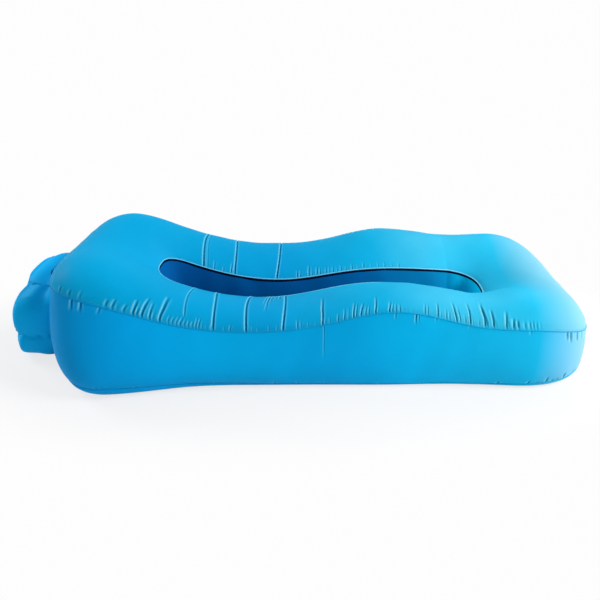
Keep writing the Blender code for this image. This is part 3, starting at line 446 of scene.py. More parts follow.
class Sections:
    """Upright half-sections of the chamber, one for each place along it. A place is x on the
    straight sides; past the spine's ends it goes on as arc length round the fan. side is
    -1 near and +1 far. The outline is a fourth-power oval round each end of the spine."""

    def __init__(self, place, side):
        self.place = np.asarray(place, float)
        self.side = np.broadcast_to(np.asarray(side, float), self.place.shape)
        self.spine_x = np.clip(self.place, SPINE_HEAD_X, SPINE_FOOT_X)
        turn = (self.place - self.spine_x) / FAN_ARC
        self.direction_x = np.sin(turn)
        self.direction_y = self.side * np.cos(turn)
        at_head = self.direction_x < 0.0
        reach = np.where(at_head, HEAD_REACH, FOOT_REACH)
        self.outer = self.oval(reach, half_width(self.spine_x), CORNER_POWER)
        self.slot = slot_half_width(self.spine_x) * self.oval(1.0, 1.0, SLOT_CORNER_POWER)
        seam_x = self.spine_x + self.direction_x * self.outer
        self.rim_z = rim_height(self.spine_x + self.direction_x * self.slot)
        turned = (np.abs(self.direction_x) - END_START_SHARE) / (END_FULL_SHARE - END_START_SHARE)
        turned = np.clip(turned, 0.0, 1.0)
        end_share = turned**2 * (3.0 - 2.0 * turned)

        def blended(side_curve, head_size, foot_size):
            end_size = np.where(at_head, head_size, foot_size)
            return side_curve(seam_x) * (1.0 - end_share) + end_size * end_share

        self.seam_z = seam_height(seam_x) - np.where(at_head, 0.0, FOOT_END_DIP) * end_share
        self.bulge = blended(side_bulge, HEAD_BULGE, FOOT_BULGE)
        self.base = self.outer + blended(base_outreach, HEAD_END_OUTREACH, FOOT_END_OUTREACH)
        self.base_z = blended(base_seam_height, HEAD_BASE_SEAM_HEIGHT, FOOT_BASE_SEAM_HEIGHT)

    def oval(self, along, across, power):
        """How far out an oval of these half sizes lies in each section's direction."""
        parts = np.abs(self.direction_x / along) ** power
        parts = parts + np.abs(self.direction_y / across) ** power
        return parts ** (-1.0 / power)

    def points(self, distance, height):
        x = self.spine_x[:, None] + self.direction_x[:, None] * distance
        y = self.direction_y[:, None] * distance
        return np.stack([x, y, height], axis=-1)

    def top_profile(self, shares):
        """From the top seam over the crown to the slot's rim: a straight line between the
        two, raised by the sine of the share's power, itself to a power."""
        v = shares[None, :]
        band = (self.outer - self.slot)[:, None]
        distance = self.outer[:, None] - band * v
        arch = np.clip(np.sin(math.pi * v**CROWN_OUTWARD_POWER), 0.0, 1.0)
        fullness = np.clip(band / CROWN_FULL_BAND, CROWN_LEAST_SHARE, CROWN_MOST_SHARE)
        place_x = self.spine_x[:, None] + self.direction_x[:, None] * distance
        rise = crown_height(place_x) * arch**CROWN_FULLNESS_POWER * fullness
        height = self.seam_z[:, None] * (1.0 - v) + self.rim_z[:, None] * v + rise
        return self.points(distance, height)

    def wall_profile(self, shares):
        """From the bottom seam to the top seam: a straight line, bowed out by a sine whose
        peak lies low."""
        v = shares[None, :]
        swell = np.sin(math.pi * v**BULGE_LOW_POWER)
        distance = self.base[:, None] * (1.0 - v) + self.outer[:, None] * v
        distance = distance + self.bulge[:, None] * swell
        height = self.base_z[:, None] * (1.0 - v) + self.seam_z[:, None] * v
        return self.points(distance, height)

    def slot_profile(self, shares):
        """From the slot's rim down to the base, bowed into the well by a sine."""
        v = shares[None, :]
        distance = self.slot[:, None] - SLOT_WALL_BULGE * np.sin(math.pi * v)
        height = self.rim_z[:, None] * (1.0 - v) + FLOOR_GAP * v
        return self.points(distance, height)

    def base_profile(self, curve_steps):
        """Out along the floor, then up a quarter ellipse to the bottom seam."""
        run = self.base_z[:, None] * BASE_CURVE_RATIO + BASE_CURVE_MARGIN
        flat_end = self.base[:, None] - run
        flat = flat_end * BASE_SHARES[None, :]
        turn = RIGHT_ANGLE * np.linspace(0.0, 1.0, curve_steps + 1)[None, 1:]
        distance = np.hstack([flat, flat_end + run * np.sin(turn)])
        height = np.hstack([np.zeros_like(flat), self.base_z[:, None] * (1.0 - np.cos(turn))])
        return self.points(distance, height)


HEAD_MIDDLE = SPINE_HEAD_X - RIGHT_ANGLE * FAN_ARC
FOOT_MIDDLE = SPINE_FOOT_X + RIGHT_ANGLE * FAN_ARC


def neck_place():
    """The place round the head at which the outline is the sleeve's half width from the
    spine, found on a fine row of places."""
    places = np.linspace(HEAD_MIDDLE, SPINE_HEAD_X, 4001)
    head = Sections(places, 1.0)
    return float(np.interp(SLEEVE_HALF_WIDTH, head.outer * head.direction_y, places))


NECK = neck_place()


def half_places(side_steps, fan_steps, start, end):
    """Places along one half of the chamber, evenly spaced in each fan and on the side."""
    head = np.linspace(start, SPINE_HEAD_X, fan_steps + 1)[:-1]
    side = np.linspace(SPINE_HEAD_X, SPINE_FOOT_X, side_steps + 1)
    foot = np.linspace(SPINE_FOOT_X, end, fan_steps + 1)[1:]
    return np.concatenate([head, side, foot])


def whole_ring(side_steps, fan_steps):
    """Sections all the way round, near side first, the last one the same as the first."""
    near = half_places(side_steps, fan_steps, HEAD_MIDDLE, FOOT_MIDDLE)
    far = near[::-1][1:]
    place = np.concatenate([near, far])
    side = np.concatenate([np.full(len(near), -1.0), np.full(len(far), 1.0)])
    return Sections(place, side)


def stepped(stretches):
    """Shares from nought to one, in stretches of even steps."""
    shares = [np.zeros(1)]
    for end, steps in stretches:
        shares.append(np.linspace(shares[-1][-1], end, steps + 1)[1:])
    return np.concatenate(shares)


# Meshes


def outward(points, closed):
    """Unit normals of a grid: the cross product of its two directions' differences."""
    if closed:
        ring = np.concatenate([points[-2:-1], points, points[1:2]])
        along = ring[2:] - ring[:-2]
    else:
        along = np.gradient(points, axis=0)
    normal = np.cross(along, np.gradient(points, axis=1))
    return normal / np.maximum(np.linalg.norm(normal, axis=2, keepdims=True), 1e-12)


def walk_along(path):
    """Arc length along a path, from nought at its first point."""
    return np.concatenate([[0.0], np.cumsum(np.linalg.norm(np.diff(path, axis=0), axis=1))])


def read_along(places, walk, values):
    """Each column of the values along a walk, read at places on it."""
    return np.stack([np.interp(places, walk, column) for column in values.T], axis=1)


def paired(first, second):
    """Two measures as one grid of pairs."""
    return np.stack(np.broadcast_arrays(first, second), axis=-1)


def walked(points):
    """Arc length along the first column, and down each row, as one grid of two lengths."""
    down = np.linalg.norm(np.diff(points, axis=1), axis=2)
    down = np.concatenate([np.zeros((len(points), 1)), np.cumsum(down, axis=1)], axis=1)
    return paired(walk_along(points[:, 0])[:, None], down)


def measured(points):
    """A grid's lengths, those across it, and the whole length across each row."""
    lengths = walked(points)
    return lengths, lengths[..., 1], lengths[:, -1:, 1]


def add_mesh(name, points, faces, uv=None, ridge=None):
    """ridge is how far each point lies on the crest beside a crease, from nought to one, or
    in its valley, down to minus one."""
    mesh = bpy.data.meshes.new(name)
    mesh.from_pydata(points.reshape(-1, 3).tolist(), [], faces.tolist())
    if ridge is not None:
        marks = mesh.attributes.new("ridge", "FLOAT", "POINT")
        marks.data.foreach_set("value", ridge.reshape(-1).astype(np.float32))
    if uv is not None:
        layer = mesh.uv_layers.new(name="cloth")
        layer.data.foreach_set("uv", uv.reshape(-1).astype(np.float32))
    mesh.shade_smooth()
    item = bpy.data.objects.new(name, mesh)
    bpy.context.scene.collection.objects.link(item)
    return item


def add_quads(name, points, uv, ridge=None, turned=False):
    """A grid of points as quads. uv has one row and one column more than the faces have; each
    way in which it also has one more than the points, the grid closes on itself. turned lists
    each face's corners the other way round."""
    rows, columns = points.shape[:2]
    i, j = np.meshgrid(np.arange(len(uv) - 1), np.arange(uv.shape[1] - 1), indexing="ij")
    after = (i + 1) % rows
    beside = (j + 1) % columns
    faces = [(i, j), (after, j), (after, beside), (i, beside)]
    spots = [uv[:-1, :-1], uv[1:, :-1], uv[1:, 1:], uv[:-1, 1:]]
    if turned:
        faces = faces[:1] + faces[:0:-1]
        spots = spots[:1] + spots[:0:-1]
    faces = np.stack([row * columns + column for row, column in faces], axis=-1)
    return add_mesh(name, points, faces.reshape(-1, 4), np.stack(spots, axis=2), ridge)


def grid_sheet(name, points, closed=False, uv=None, ridge=None):
    """A grid as quads. points[i][j] faces outwards when i runs anticlockwise seen from
    outside with j up. A closed grid's last row repeats its first, and is joined to it."""
    kept = points[:-1] if closed else points
    if ridge is not None:
        ridge = ridge[: len(kept)]
    return add_quads(name, kept, walked(points) if uv is None else uv, ridge)


def rework(item, change):
    """Changes a mesh by a function of its bmesh."""
    shell = bmesh.new()
    shell.from_mesh(item.data)
    change(shell)
    shell.to_mesh(item.data)
    shell.free()
    return item


def closed_up(shell):
    """Fills the open ends and turns every face outwards."""
    bmesh.ops.holes_fill(shell, edges=[edge for edge in shell.edges if edge.is_boundary])
    bmesh.ops.recalc_face_normals(shell, faces=shell.faces)


def joined_up(shell):
    """Joins the points that lie together in the middle of a ring of sections."""
    bmesh.ops.remove_doubles(shell, verts=shell.verts, dist=JOIN_DISTANCE)


def thicken(item):
    solid = item.modifiers.new("cloth", "SOLIDIFY")
    solid.thickness = CLOTH
    solid.offset = -1.0


def dress(item, material, nodes=()):
    item.data.materials.clear()
    item.data.materials.append(material)
    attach(item, BODY)
    if nodes:
        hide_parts(*nodes)
    return item


def frames_along(path, closed):
    """Two directions square to a path at each of its points, the first of them level."""
    if closed:
        tangent = np.roll(path, -1, axis=0) - np.roll(path, 1, axis=0)
    else:
        tangent = np.gradient(path, axis=0)
    tangent = tangent / np.linalg.norm(tangent, axis=1, keepdims=True)
    side = np.cross(tangent, np.array([0.0, 0.0, 1.0]))
    flat = np.linalg.norm(side, axis=1, keepdims=True)
    side = np.where(flat > 1e-4, side / np.maximum(flat, 1e-9), np.array([1.0, 0.0, 0.0]))
    return side, np.cross(side, tangent)


def tube(name, path, radius, closed):
    """A round cord: at each point of the path a circle of its radius there, square to it."""
    side, up = frames_along(path, closed)
    turn = np.linspace(0.0, TURN, CORD_SIDES + 1)[None, :, None]
    ring = np.cos(turn) * side[:, None] + np.sin(turn) * up[:, None]
    points = path[:, None] + radius[:, None, None] * ring
    if closed:
        points = np.concatenate([points, points[:1]])
    item = add_quads(name, points[: len(path), :-1], walked(points), turned=True)
    return item if closed else rework(item, closed_up)


def stitch_row(name, points, measure, offset):
    """Raised stitches at even steps along the line on a closed grid at which a measure that
    rises across it comes to the offset. Each is a bar of four square rings, low and narrow at
    its ends."""
    count, width = measure.shape
    spots = np.array([np.interp(offset, row, np.arange(width)) for row in measure])
    low = np.minimum(spots, width - 2).astype(int)
    share = (spots - low)[:, None]
    rows = np.arange(count)
    line = (1.0 - share) * points[rows, low] + share * points[rows, low + 1]
    normal = outward(points, True)[rows, low]
    walk = walk_along(line)
    total = int(walk[-1] / STITCH_PITCH)
    places = (np.arange(total) + 0.5) * walk[-1] / total
    centre = read_along(places, walk, line)
    raised = read_along(places, walk, normal)
    ahead = np.interp(places + STITCH_LOOK, walk, rows).astype(int)
    behind = np.interp(places - STITCH_LOOK, walk, rows).astype(int)
    course = line[np.minimum(ahead + 1, count - 1)] - line[behind]
    course = course / np.linalg.norm(course, axis=1, keepdims=True)
    beside = np.cross(raised, course)
    corners = []
    for step, size in ((-0.5, 0.35), (-0.3, 1.0), (0.3, 1.0), (0.5, 0.35)):
        for across, high in ((-0.5, -0.4), (0.5, -0.4), (0.5, 0.6), (-0.5, 0.6)):
            corner = centre + course * step * STITCH_LENGTH + beside * across * size * STITCH_WIDTH
            corners.append(corner + raised * high * size * STITCH_WIDTH)
    faces = [(0, 1, 2, 3), (15, 14, 13, 12)]
    for ring in (0, 4, 8):
        for corner in range(4):
            after = (corner + 1) % 4
            faces.append((ring + corner, ring + 4 + corner, ring + 4 + after, ring + after))
    faces = (np.array(faces)[None] + 16 * np.arange(total)[:, None, None]).reshape(-1, 4)
    item = rework(add_mesh(name, np.stack(corners, axis=1), faces), closed_up)
    return dress(item, thread)


# Creases


def metres(table):
    """Creases listed in millimetres, as rows of place, reach, strength and lean in metres."""
    return [
        (place / 1000.0, reach / 1000.0, strength, sum(lean) / 1000.0)
        for place, reach, strength, *lean in table
    ]


def valley(along, reach_share, centre, width):
    """A crease's cross-section: a bell-shaped dip, with a full shoulder on the head's side
    and a low one on the foot's."""
    q = (along - centre) / width
    head_side = HEAD_SHOULDER * np.exp(-((q + SHOULDER_PLACE) ** 2))
    foot_side = FOOT_SHOULDER * np.exp(-((q - SHOULDER_PLACE) ** 2))
    return (head_side + foot_side - np.exp(-(q**2))) * reach_share


def crease_size(place, strength):
    """Half width and depth of a crease, a little larger in the fans at the two ends."""
    scale = FAN_CREASE_SCALE if place < SPINE_HEAD_X or place > SPINE_FOOT_X else 1.0
    return scale * CREASE_WIDTHS[strength], scale * CREASE_DEPTHS[strength]


def seam_pucker(along, across, pucker):
    """A crease that starts at the seam, is deepest a few millimetres in, wanders by a sine
    and dies at its reach."""
    place, reach, strength, lean = pucker
    width, depth = crease_size(place, strength)
    share = np.clip(1.0 - across / reach, 0.0, 1.0) ** PUCKER_FADE_POWER
    share = share * np.clip(across / PUCKER_START, 0.0, 1.0)
    height, rate, shift = PUCKER_WAVE
    wander = height * width * np.sin(across * rate + place * shift)
    centre = place + lean * across / LEAN_REACH + wander
    narrow, widening = PUCKER_WIDENING
    return depth * valley(along, share, centre, width * (narrow + widening * across / reach))


def long_fold(along, across, whole, fold):
    """A crease across a band from its starting share, shallower in the middle."""
    place, strength, lean, start = fold
    width, depth = crease_size(place, strength)
    share = across / whole
    swell = 1.0 - LONG_SHALLOWING * np.sin(math.pi * share)
    swell = swell * np.clip((share - start) / LONG_START, 0.0, 1.0)
    swell = swell * np.clip((1.0 - share) / LONG_END, 0.0, 1.0)
    height, rate, shift = LONG_WAVE
    wander = height * np.sin(share * rate + place * shift)
    return depth * valley(along, swell, place + lean * across / LEAN_REACH + wander, width)


def soft_swell(points, height):
    """Broad unevenness: a sum of plane waves 8 to 28 cm long."""
    x, y, z = points[..., 0], points[..., 1], points[..., 2]
    wave = np.zeros_like(x)
    for share, along_x, along_y, along_z, shift in SWELL_WAVES:
        wave = wave + share * np.sin(along_x * x + along_y * y + along_z * z + shift)
    return height * wave / SWELL_WAVES_SUM


def edge_fade(across, whole, reach):
    """Nothing at both edges of a band, one beyond the reach from them."""
    return np.clip(across / reach, 0.0, 1.0) * np.clip((whole - across) / reach, 0.0, 1.0)


def faded_swell(points, across, whole, height, reach):
    """The broad unevenness of a band, fading out towards its edges."""
    return soft_swell(points, height) * edge_fade(across, whole, reach)


def filler_puckers(start, end, seed, pitch, reach):
    """Puckers at uneven steps, for the stretches that the photograph doesn't show."""
    draw = np.random.default_rng(seed)
    places = np.arange(start, end, pitch)
    places = places + draw.uniform(-0.4, 0.4, len(places)) * pitch
    reaches = reach * draw.uniform(0.4, 1.8, len(places))
    strengths = draw.integers(1, 4, len(places))
    leans = draw.uniform(-0.015, 0.02, len(places))
    return list(zip(places, reaches, strengths.tolist(), leans))


def crest_marks(field):
    """One on the crests beside creases, minus one in the deepest valleys, nought between."""
    return np.clip(np.where(field > 0.0, field / RIDGE_HEIGHT, field / VALLEY_DEPTH), -1.0, 1.0)


def add_creases(field, place, here, shape, table, *grids):
    """Adds one crease after another to the field, each over the rows close to it."""
    for crease in table:
        rows = here & (np.abs(place - crease[0]) < CREASE_SPREAD)
        field[rows] += shape(*[grid[rows] for grid in grids], crease)


def moved(points, field, closed):
    """Points moved along their outward normals by the field."""
    points = points + outward(points, closed) * field[..., None]
    if closed:
        points[-1] = points[0]
    return points


def make_top_cover():
    """The top panel: the sections' crown profile on a dense grid, moved along its normals by
    the puckers at its seam and rim, the long folds and a broad swell."""
    ring = whole_ring(900, 290)
    points = ring.top_profile(stepped(TOP_STRETCHES))
    lengths, across, whole = measured(points)
    from_rim = whole - across
    along = np.broadcast_to(ring.place[:, None], across.shape)
    field = np.zeros_like(across)
    near_table = metres(NEAR_PUCKERS)
    near_table += filler_puckers(HEAD_MIDDLE, NEAR_START, *HEAD_FILLER)
    near_table += filler_puckers(NEAR_END, FOOT_MIDDLE, *FOOT_FILLER)
    far_table = filler_puckers(HEAD_MIDDLE, FOOT_MIDDLE, *FAR_FILLER)
    near = ring.side < 0.0
    for here, puckers, folds, rim in (
        (near, near_table, NEAR_FOLDS, NEAR_RIM_PUCKERS),
        (~near, far_table, FAR_FOLDS, FAR_RIM_PUCKERS),
    ):
        add_creases(field, ring.place, here, seam_pucker, puckers, along, across)
        add_creases(field, ring.place, here, long_fold, folds, along, across, whole)
        add_creases(field, ring.place, here, seam_pucker, metres(rim), along, from_rim)
    # Marks for the painted highlight on the crests and painted shade in the valleys of creases
    ridge = crest_marks(field)
    field = field + faded_swell(points, across, whole, *TOP_SWELL)
    points = moved(points, field, True)
    item = grid_sheet("top_cover", points, True, lengths, ridge)
    dress(item, sky_cloth, ["top_panel"])
    stitch_row("top_stitches", points, across, SEAM_STITCH_OFFSET)
    stitch_row("rim_stitches", points, -from_rim, -RIM_STITCH_OFFSET)


def make_wall_cover(label, side):
    """One side wall: the sections' bowed wall profile, with puckers hanging from the top seam,
    a few rising from the bottom seam, and a broad swell."""
    place = half_places(640, 260, NECK, FOOT_MIDDLE)
    points = Sections(place, side).wall_profile(stepped(WALL_STRETCHES))
    if side > 0.0:
        points = points[::-1]
        place = place[::-1]
        table = filler_puckers(NECK, FOOT_MIDDLE, *FAR_WALL_FILLER)
    else:
        table = metres(WALL_PUCKERS)
    lengths, from_base, whole = measured(points)
    along = np.broadcast_to(place[:, None], from_base.shape)
    field = np.zeros_like(from_base)
    everywhere = np.full(len(place), True)
    low = filler_puckers(LOW_FOOT_START, FOOT_MIDDLE, *LOW_FOOT_FILLER)
    low += filler_puckers(NECK, LOW_SIDE_END, *LOW_SIDE_FILLER)
    add_creases(field, place, everywhere, seam_pucker, table, along, whole - from_base)
    add_creases(field, place, everywhere, seam_pucker, low, along, from_base)
    # Marks for the painted highlight on the crests and painted shade in the valleys of creases
    ridge = crest_marks(field)
    field = field + faded_swell(points, from_base, whole, *WALL_SWELL)
    points = moved(points, field, False)
    item = grid_sheet(f"wall_cover_{label}", points, False, lengths, ridge)
    dress(item, wall_cloth, [f"side_wall_{label}"])


def make_base_cover():
    """The base: flat on the floor and turned up at its edge by a quarter ellipse."""
    item = grid_sheet("base_cover", whole_ring(130, 50).base_profile(8), True)
    rework(item, joined_up)
    thicken(item)
    dress(item, wall_cloth, ["bottom_panel"])


def make_well_lining():
    """The slot's wall: the sections' bowed profile with a broad swell and a few shallow
    upright folds that follow x."""
    points = whole_ring(300, 70).slot_profile(np.linspace(0.0, 1.0, 19))
    lengths, across, whole = measured(points)
    x, y = points[..., 0], points[..., 1]
    ripple = np.sin(x * 13.0 + y * 9.0) * np.sin(x * 47.0 + y * 21.0 + across * 5.0)
    field = WELL_RIPPLE * ripple + soft_swell(points, WELL_SWELL)
    points = moved(points, field * edge_fade(across, whole, WELL_FADE), True)
    item = grid_sheet("well_lining", points, True, lengths)
    dress(item, well_cloth, ["slot_wall"])


def seam_path(sections, share):
    return sections.wall_profile(np.array([share]))[:, 0]


def piped(name, path, closed, material, node, radius=PIPING_RADIUS):
    """Piping: a round cord whose thickness swells a little between stitches."""
    swell = 1.0 + CORD_SWELL * np.sin(walk_along(path) * TURN / CORD_SWELL_PITCH)
    dress(tube(name, path, radius * swell, closed), material, [node])


def make_rim_shade_band():
    """A near-black band under the rim, a painted shadow of the overhanging rim: a band down the
    top of the well's wall, half a millimetre proud of the lining, bulged by a sine, with its upper
    edge tucked under the rim."""
    ring = whole_ring(300, 90)
    drop = np.linspace(0.0, 1.0, 7)
    depth = (RIM_SHADE_DROP * drop)[None, :] / ring.rim_z[:, None]
    proud = RIM_SHADE_PROUD + RIM_SHADE_BULGE * np.sin(math.pi * drop)[None, :]
    distance = ring.slot[:, None] - SLOT_WALL_BULGE * np.sin(math.pi * depth) - proud
    height = ring.rim_z[:, None] * (1.0 - depth)
    item = grid_sheet("rim_shade_band", ring.points(distance, height), True)
    dress(item, rim_shade_cloth, ["slot_rim_binding"])


def make_piping():
    ring = whole_ring(330, 110)
    rim, low = (ring.slot_profile(np.array([share]))[:-1, 0] for share in (0.0, 1.0))
    piped("top_piping", seam_path(ring, 1.0)[:-1], True, piping, "top_seam")
    piped("base_piping", seam_path(ring, 0.0)[:-1], True, piping, "bottom_seam")
    piped("rim_piping", rim, True, rim_cloth, "slot_rim_binding", RIM_RADIUS)
    make_rim_shade_band()
    piped("well_piping", low, True, well_piping, "slot_base_seam")
    shares = np.linspace(UPRIGHT_SEAM_END, 1.0 - UPRIGHT_SEAM_END, 60)
    for name, place, side in (
        ("foot_joint_seam", FOOT_MIDDLE, 1.0),
        ("neck_seam_near", NECK, -1.0),
        ("neck_seam_far", NECK, 1.0),
    ):
        line = Sections([place], side).wall_profile(shares)[0]
        piped(name + "_piping", line, False, piping, name)


# Filling sleeve


def smooth_rows(rows, samples):
    """Each row's few points joined by a smooth curve, read at many even steps."""
    count = rows.shape[1]
    steps = np.linspace(0.0, count - 1.0, samples)
    lines = []
    for line in rows:
        curves = [even_curve(0.0, count - 1.0, line[:, axis]) for axis in range(3)]
        lines.append(np.stack([curve(steps) for curve in curves], axis=1))
    return np.array(lines)


def neck_outline(steps):
    """The opening in the head's end as a loop: the top seam from far to near, down the near
    edge, back along the bottom seam and up the far edge."""
    place = np.linspace(NECK, HEAD_MIDDLE, steps + 1)
    end = Sections(
        np.concatenate([place, place[::-1][1:]]),
        np.concatenate([np.ones(steps + 1), -np.ones(steps)]),
    )
    top = seam_path(end, 1.0)
    bottom = seam_path(end, 0.0)[::-1]
    shares = np.linspace(0.0, 1.0, 2 * steps + 1)[1:-1]
    near_edge, far_edge = Sections([NECK, NECK], [-1.0, 1.0]).wall_profile(shares)
    return np.concatenate([top, near_edge[::-1], bottom, far_edge])


def lobe_swell(height, top):
    """Nothing at the two level folds and one in the middle of each lobe: a quarter wave below
    the low fold, half a wave between the folds and a quarter wave above them, to a power."""
    low, high = (top * share for share in FOLD_HEIGHT_SHARES)
    above_share = np.clip((height - high) / (top * LOBE_TOP_SHARE - high), 0.0, 1.0)
    below = np.cos(0.5 * math.pi * height / low)
    between = np.sin(math.pi * (height - low) / (high - low))
    above = np.sin(0.5 * math.pi * above_share)
    wave = np.where(height < low, below, np.where(height < high, between, above))
    return np.clip(wave, 0.0, 1.0) ** LOBE_POWER


def make_sleeve_cover():
    """The sleeve: a loft from the squarish opening, out over the swell and back in to the
    flat mouth, with level folds between its lobes, the lower one drawn in to a line, and
    small wrinkles round the neck."""
    outline = neck_outline(NECK_STEPS)
    middle_z = 0.5 * (outline[:, 2].min() + outline[:, 2].max())
    tilt = np.arctan2(
        (outline[:, 2] - middle_z) / np.ptp(outline[:, 2]), outline[:, 1] / np.ptp(outline[:, 1])
    )
    power = np.where(np.sin(tilt) < 0.0, SLEEVE_LOW_POWER, SLEEVE_TOP_POWER)
    across = np.sign(np.cos(tilt)) * np.abs(np.cos(tilt)) ** power
    along = np.sign(np.sin(tilt)) * np.abs(np.sin(tilt)) ** power
    head_x = SPINE_HEAD_X - HEAD_REACH
    full = SLEEVE_HALF_WIDTH + SLEEVE_SWELL
    top = SEAM_HEIGHT - SLEEVE_TOP_DROP
    rings = [
        (SLEEVE_LENGTH * out, full * wide, top * low, top * high)
        for out, wide, low, high in SLEEVE_RING_SHARES
    ]
    mouth_out = ROLL_REACH - ROLL_HALF_THICKNESS - SEAT_GAP
    mouth_low = ROLL_HEIGHT - MOUTH_HALF_HEIGHT
    rings.append((mouth_out, MOUTH_HALF_WIDTH, mouth_low, mouth_low + 2.0 * MOUTH_HALF_HEIGHT))
    loops = [outline, outline - np.array([SLEEVE_LIP, 0.0, 0.0])]
    for number, (out, wide, low, high) in enumerate(rings):
        height = 0.5 * (low + high) + 0.5 * (high - low) * along
        fold = 1.0 - lobe_swell(height, top) if number < FOLDED_RINGS else np.zeros_like(height)
        depth = np.where(height < middle_z, *FOLD_END_SHARES)
        x = head_x - out * (1.0 - depth * fold)
        lean = np.clip(SLEEVE_LEAN_HEIGHT - height, -SLEEVE_LEAN_REACH, SLEEVE_LEAN_REACH)
        top_lobe = np.clip((height - TOP_LOBE_START) / TOP_LOBE_RISE, 0.0, 1.0)
        top_lobe = top_lobe * out / SLEEVE_LENGTH
        x = x - SLEEVE_LEAN * lean * (out / SLEEVE_LENGTH) * (number < FOLDED_RINGS + 1)
        x = x + TOP_LOBE_BACK * top_lobe
        side = wide * across * (1.0 - FOLD_SIDE_SHARE * fold - TOP_LOBE_NARROWER * top_lobe)
        loops.append(np.stack([x, side, height], axis=-1))
    points = smooth_rows(np.array(loops).transpose(1, 0, 2), SLEEVE_SAMPLES)
    points[:, :, 2] = np.maximum(points[:, :, 2], 0.0)
    points = np.concatenate([points, points[:1]])[::-1]
    lengths, down, whole = measured(points)
    angle = np.concatenate([tilt, tilt[:1]])[::-1][:, None]
    wrinkle = np.sin(angle * 23.0 + 1.0) + 0.7 * np.sin(angle * 41.0 + 2.0)
    field = WRINKLE_HEIGHT * wrinkle * np.exp(-((down / WRINKLE_REACH) ** 2))
    field = field * np.clip(down / WRINKLE_START, 0.0, 1.0)
    gather = np.sin(angle * 31.0) + 0.8 * np.sin(angle * 53.0 + 0.6)
    from_gather = (whole - down - GATHER_OUT) / GATHER_REACH
    field = field + GATHER_HEIGHT * gather * np.exp(-(from_gather**2))
    field = field + faded_swell(points, down, whole, *SLEEVE_SWELLING)
    from_fold = (points[..., 2] - top * FOLD_HEIGHT_SHARES[0]) / FOLD_LINE_HALF_WIDTH
    line = FOLD_LINE_DEPTH * np.exp(-(from_fold**2)) * edge_fade(down, whole, FOLD_LINE_FADE)
    field = (field - line) * np.clip(points[..., 2] / FLOOR_CALM, 0.0, 1.0)
    item = grid_sheet("sleeve_cover", moved(points, field, True), True, lengths)
    thicken(item)
    dress(item, sleeve_cloth, ["filling_sleeve"])


def roll_path():
    """The roll's middle line, level: an end beside the buckle, round a bend, along the
    sleeve's mouth, round the other bend and back to the far end. Points and headings."""
    turn = math.pi * np.arange(BEND_STEPS + 1) / BEND_STEPS
    centre_x = 0.5 * (ROLL_MIDDLE_X + ROLL_END_X)
    points = [[[ROLL_END_X, -ROLL_END_Y]]]
    heading = [[-RIGHT_ANGLE]]
    for angle, centre_y in ((math.pi + turn, -ROLL_STRAIGHT_HALF), (turn, ROLL_STRAIGHT_HALF)):
        x = centre_x + ROLL_BEND_RADIUS * np.cos(angle)
        y = centre_y + ROLL_BEND_RADIUS * np.sin(angle)
        points.append(np.stack([x, y], axis=1))
        heading.append(angle + RIGHT_ANGLE)
    points.append([[ROLL_END_X, ROLL_END_Y]])
    heading.append([-RIGHT_ANGLE])
    return np.concatenate(points), np.concatenate(heading)


def add_band(name, grid, u, v):
    """A grid that closes round its columns, filled at both ends, with lengths u and v."""
    return rework(add_quads(name, grid, paired(u[:, None], v[None, :])), closed_up)


def swept(name, points, heading, side, up, walk):
    """A closed section carried along a level path, square to its heading. side and up have
    one column round the section, and one row for each point of the path or one for all."""
    x = points[:, 0, None] + np.sin(heading)[:, None] * side
    y = points[:, 1, None] - np.cos(heading)[:, None] * side
    grid = np.stack(np.broadcast_arrays(x, y, ROLL_HEIGHT + up), axis=-1)
    return add_band(name, grid, walk, walk_along(np.concatenate([grid[0], grid[0, :1]])))


def make_roll_cover():
    """The rolled mouth: a ribbon of cloth wound in a flat spiral of three and a half turns,
    carried along the roll's path. The spiral's outside is the CAD roll's oval."""
    path, heading = roll_path()
    walk = walk_along(path)
    places = np.linspace(0.0, walk[-1], int(walk[-1] / ROLL_STEP) + 1)
    points = read_along(places, walk, path)
    heading = np.interp(places, walk, np.unwrap(heading))
    wind = np.linspace(0.0, 1.0, SPIRAL_POINTS)
    angle = TURN * ROLL_TURNS * wind
    shrink = 1.0 - wind * ROLL_SHRINK
    outer_x = ROLL_HALF_THICKNESS * shrink * np.cos(angle)
    outer_z = (ROLL_HALF_HEIGHT - (1.0 - shrink) * ROLL_HALF_THICKNESS) * np.sin(angle)
    inner_x = outer_x - ROLL_PLY * np.cos(angle)
    inner_z = outer_z - ROLL_PLY * np.sin(angle)
    side = np.concatenate([outer_x, inner_x[::-1]])[None, :]
    up = np.concatenate([outer_z, inner_z[::-1]])[None, :]
    swell = 1.0 + 0.025 * np.sin(places * 170.0) + 0.02 * np.sin(places * 95.0 + 1.0) - 0.03
    swell = swell[:, None]
    item = swept("roll_cover", points, heading, side * swell, up * swell, places)
    dress(item, roll_cloth, ["mouth_roll"])


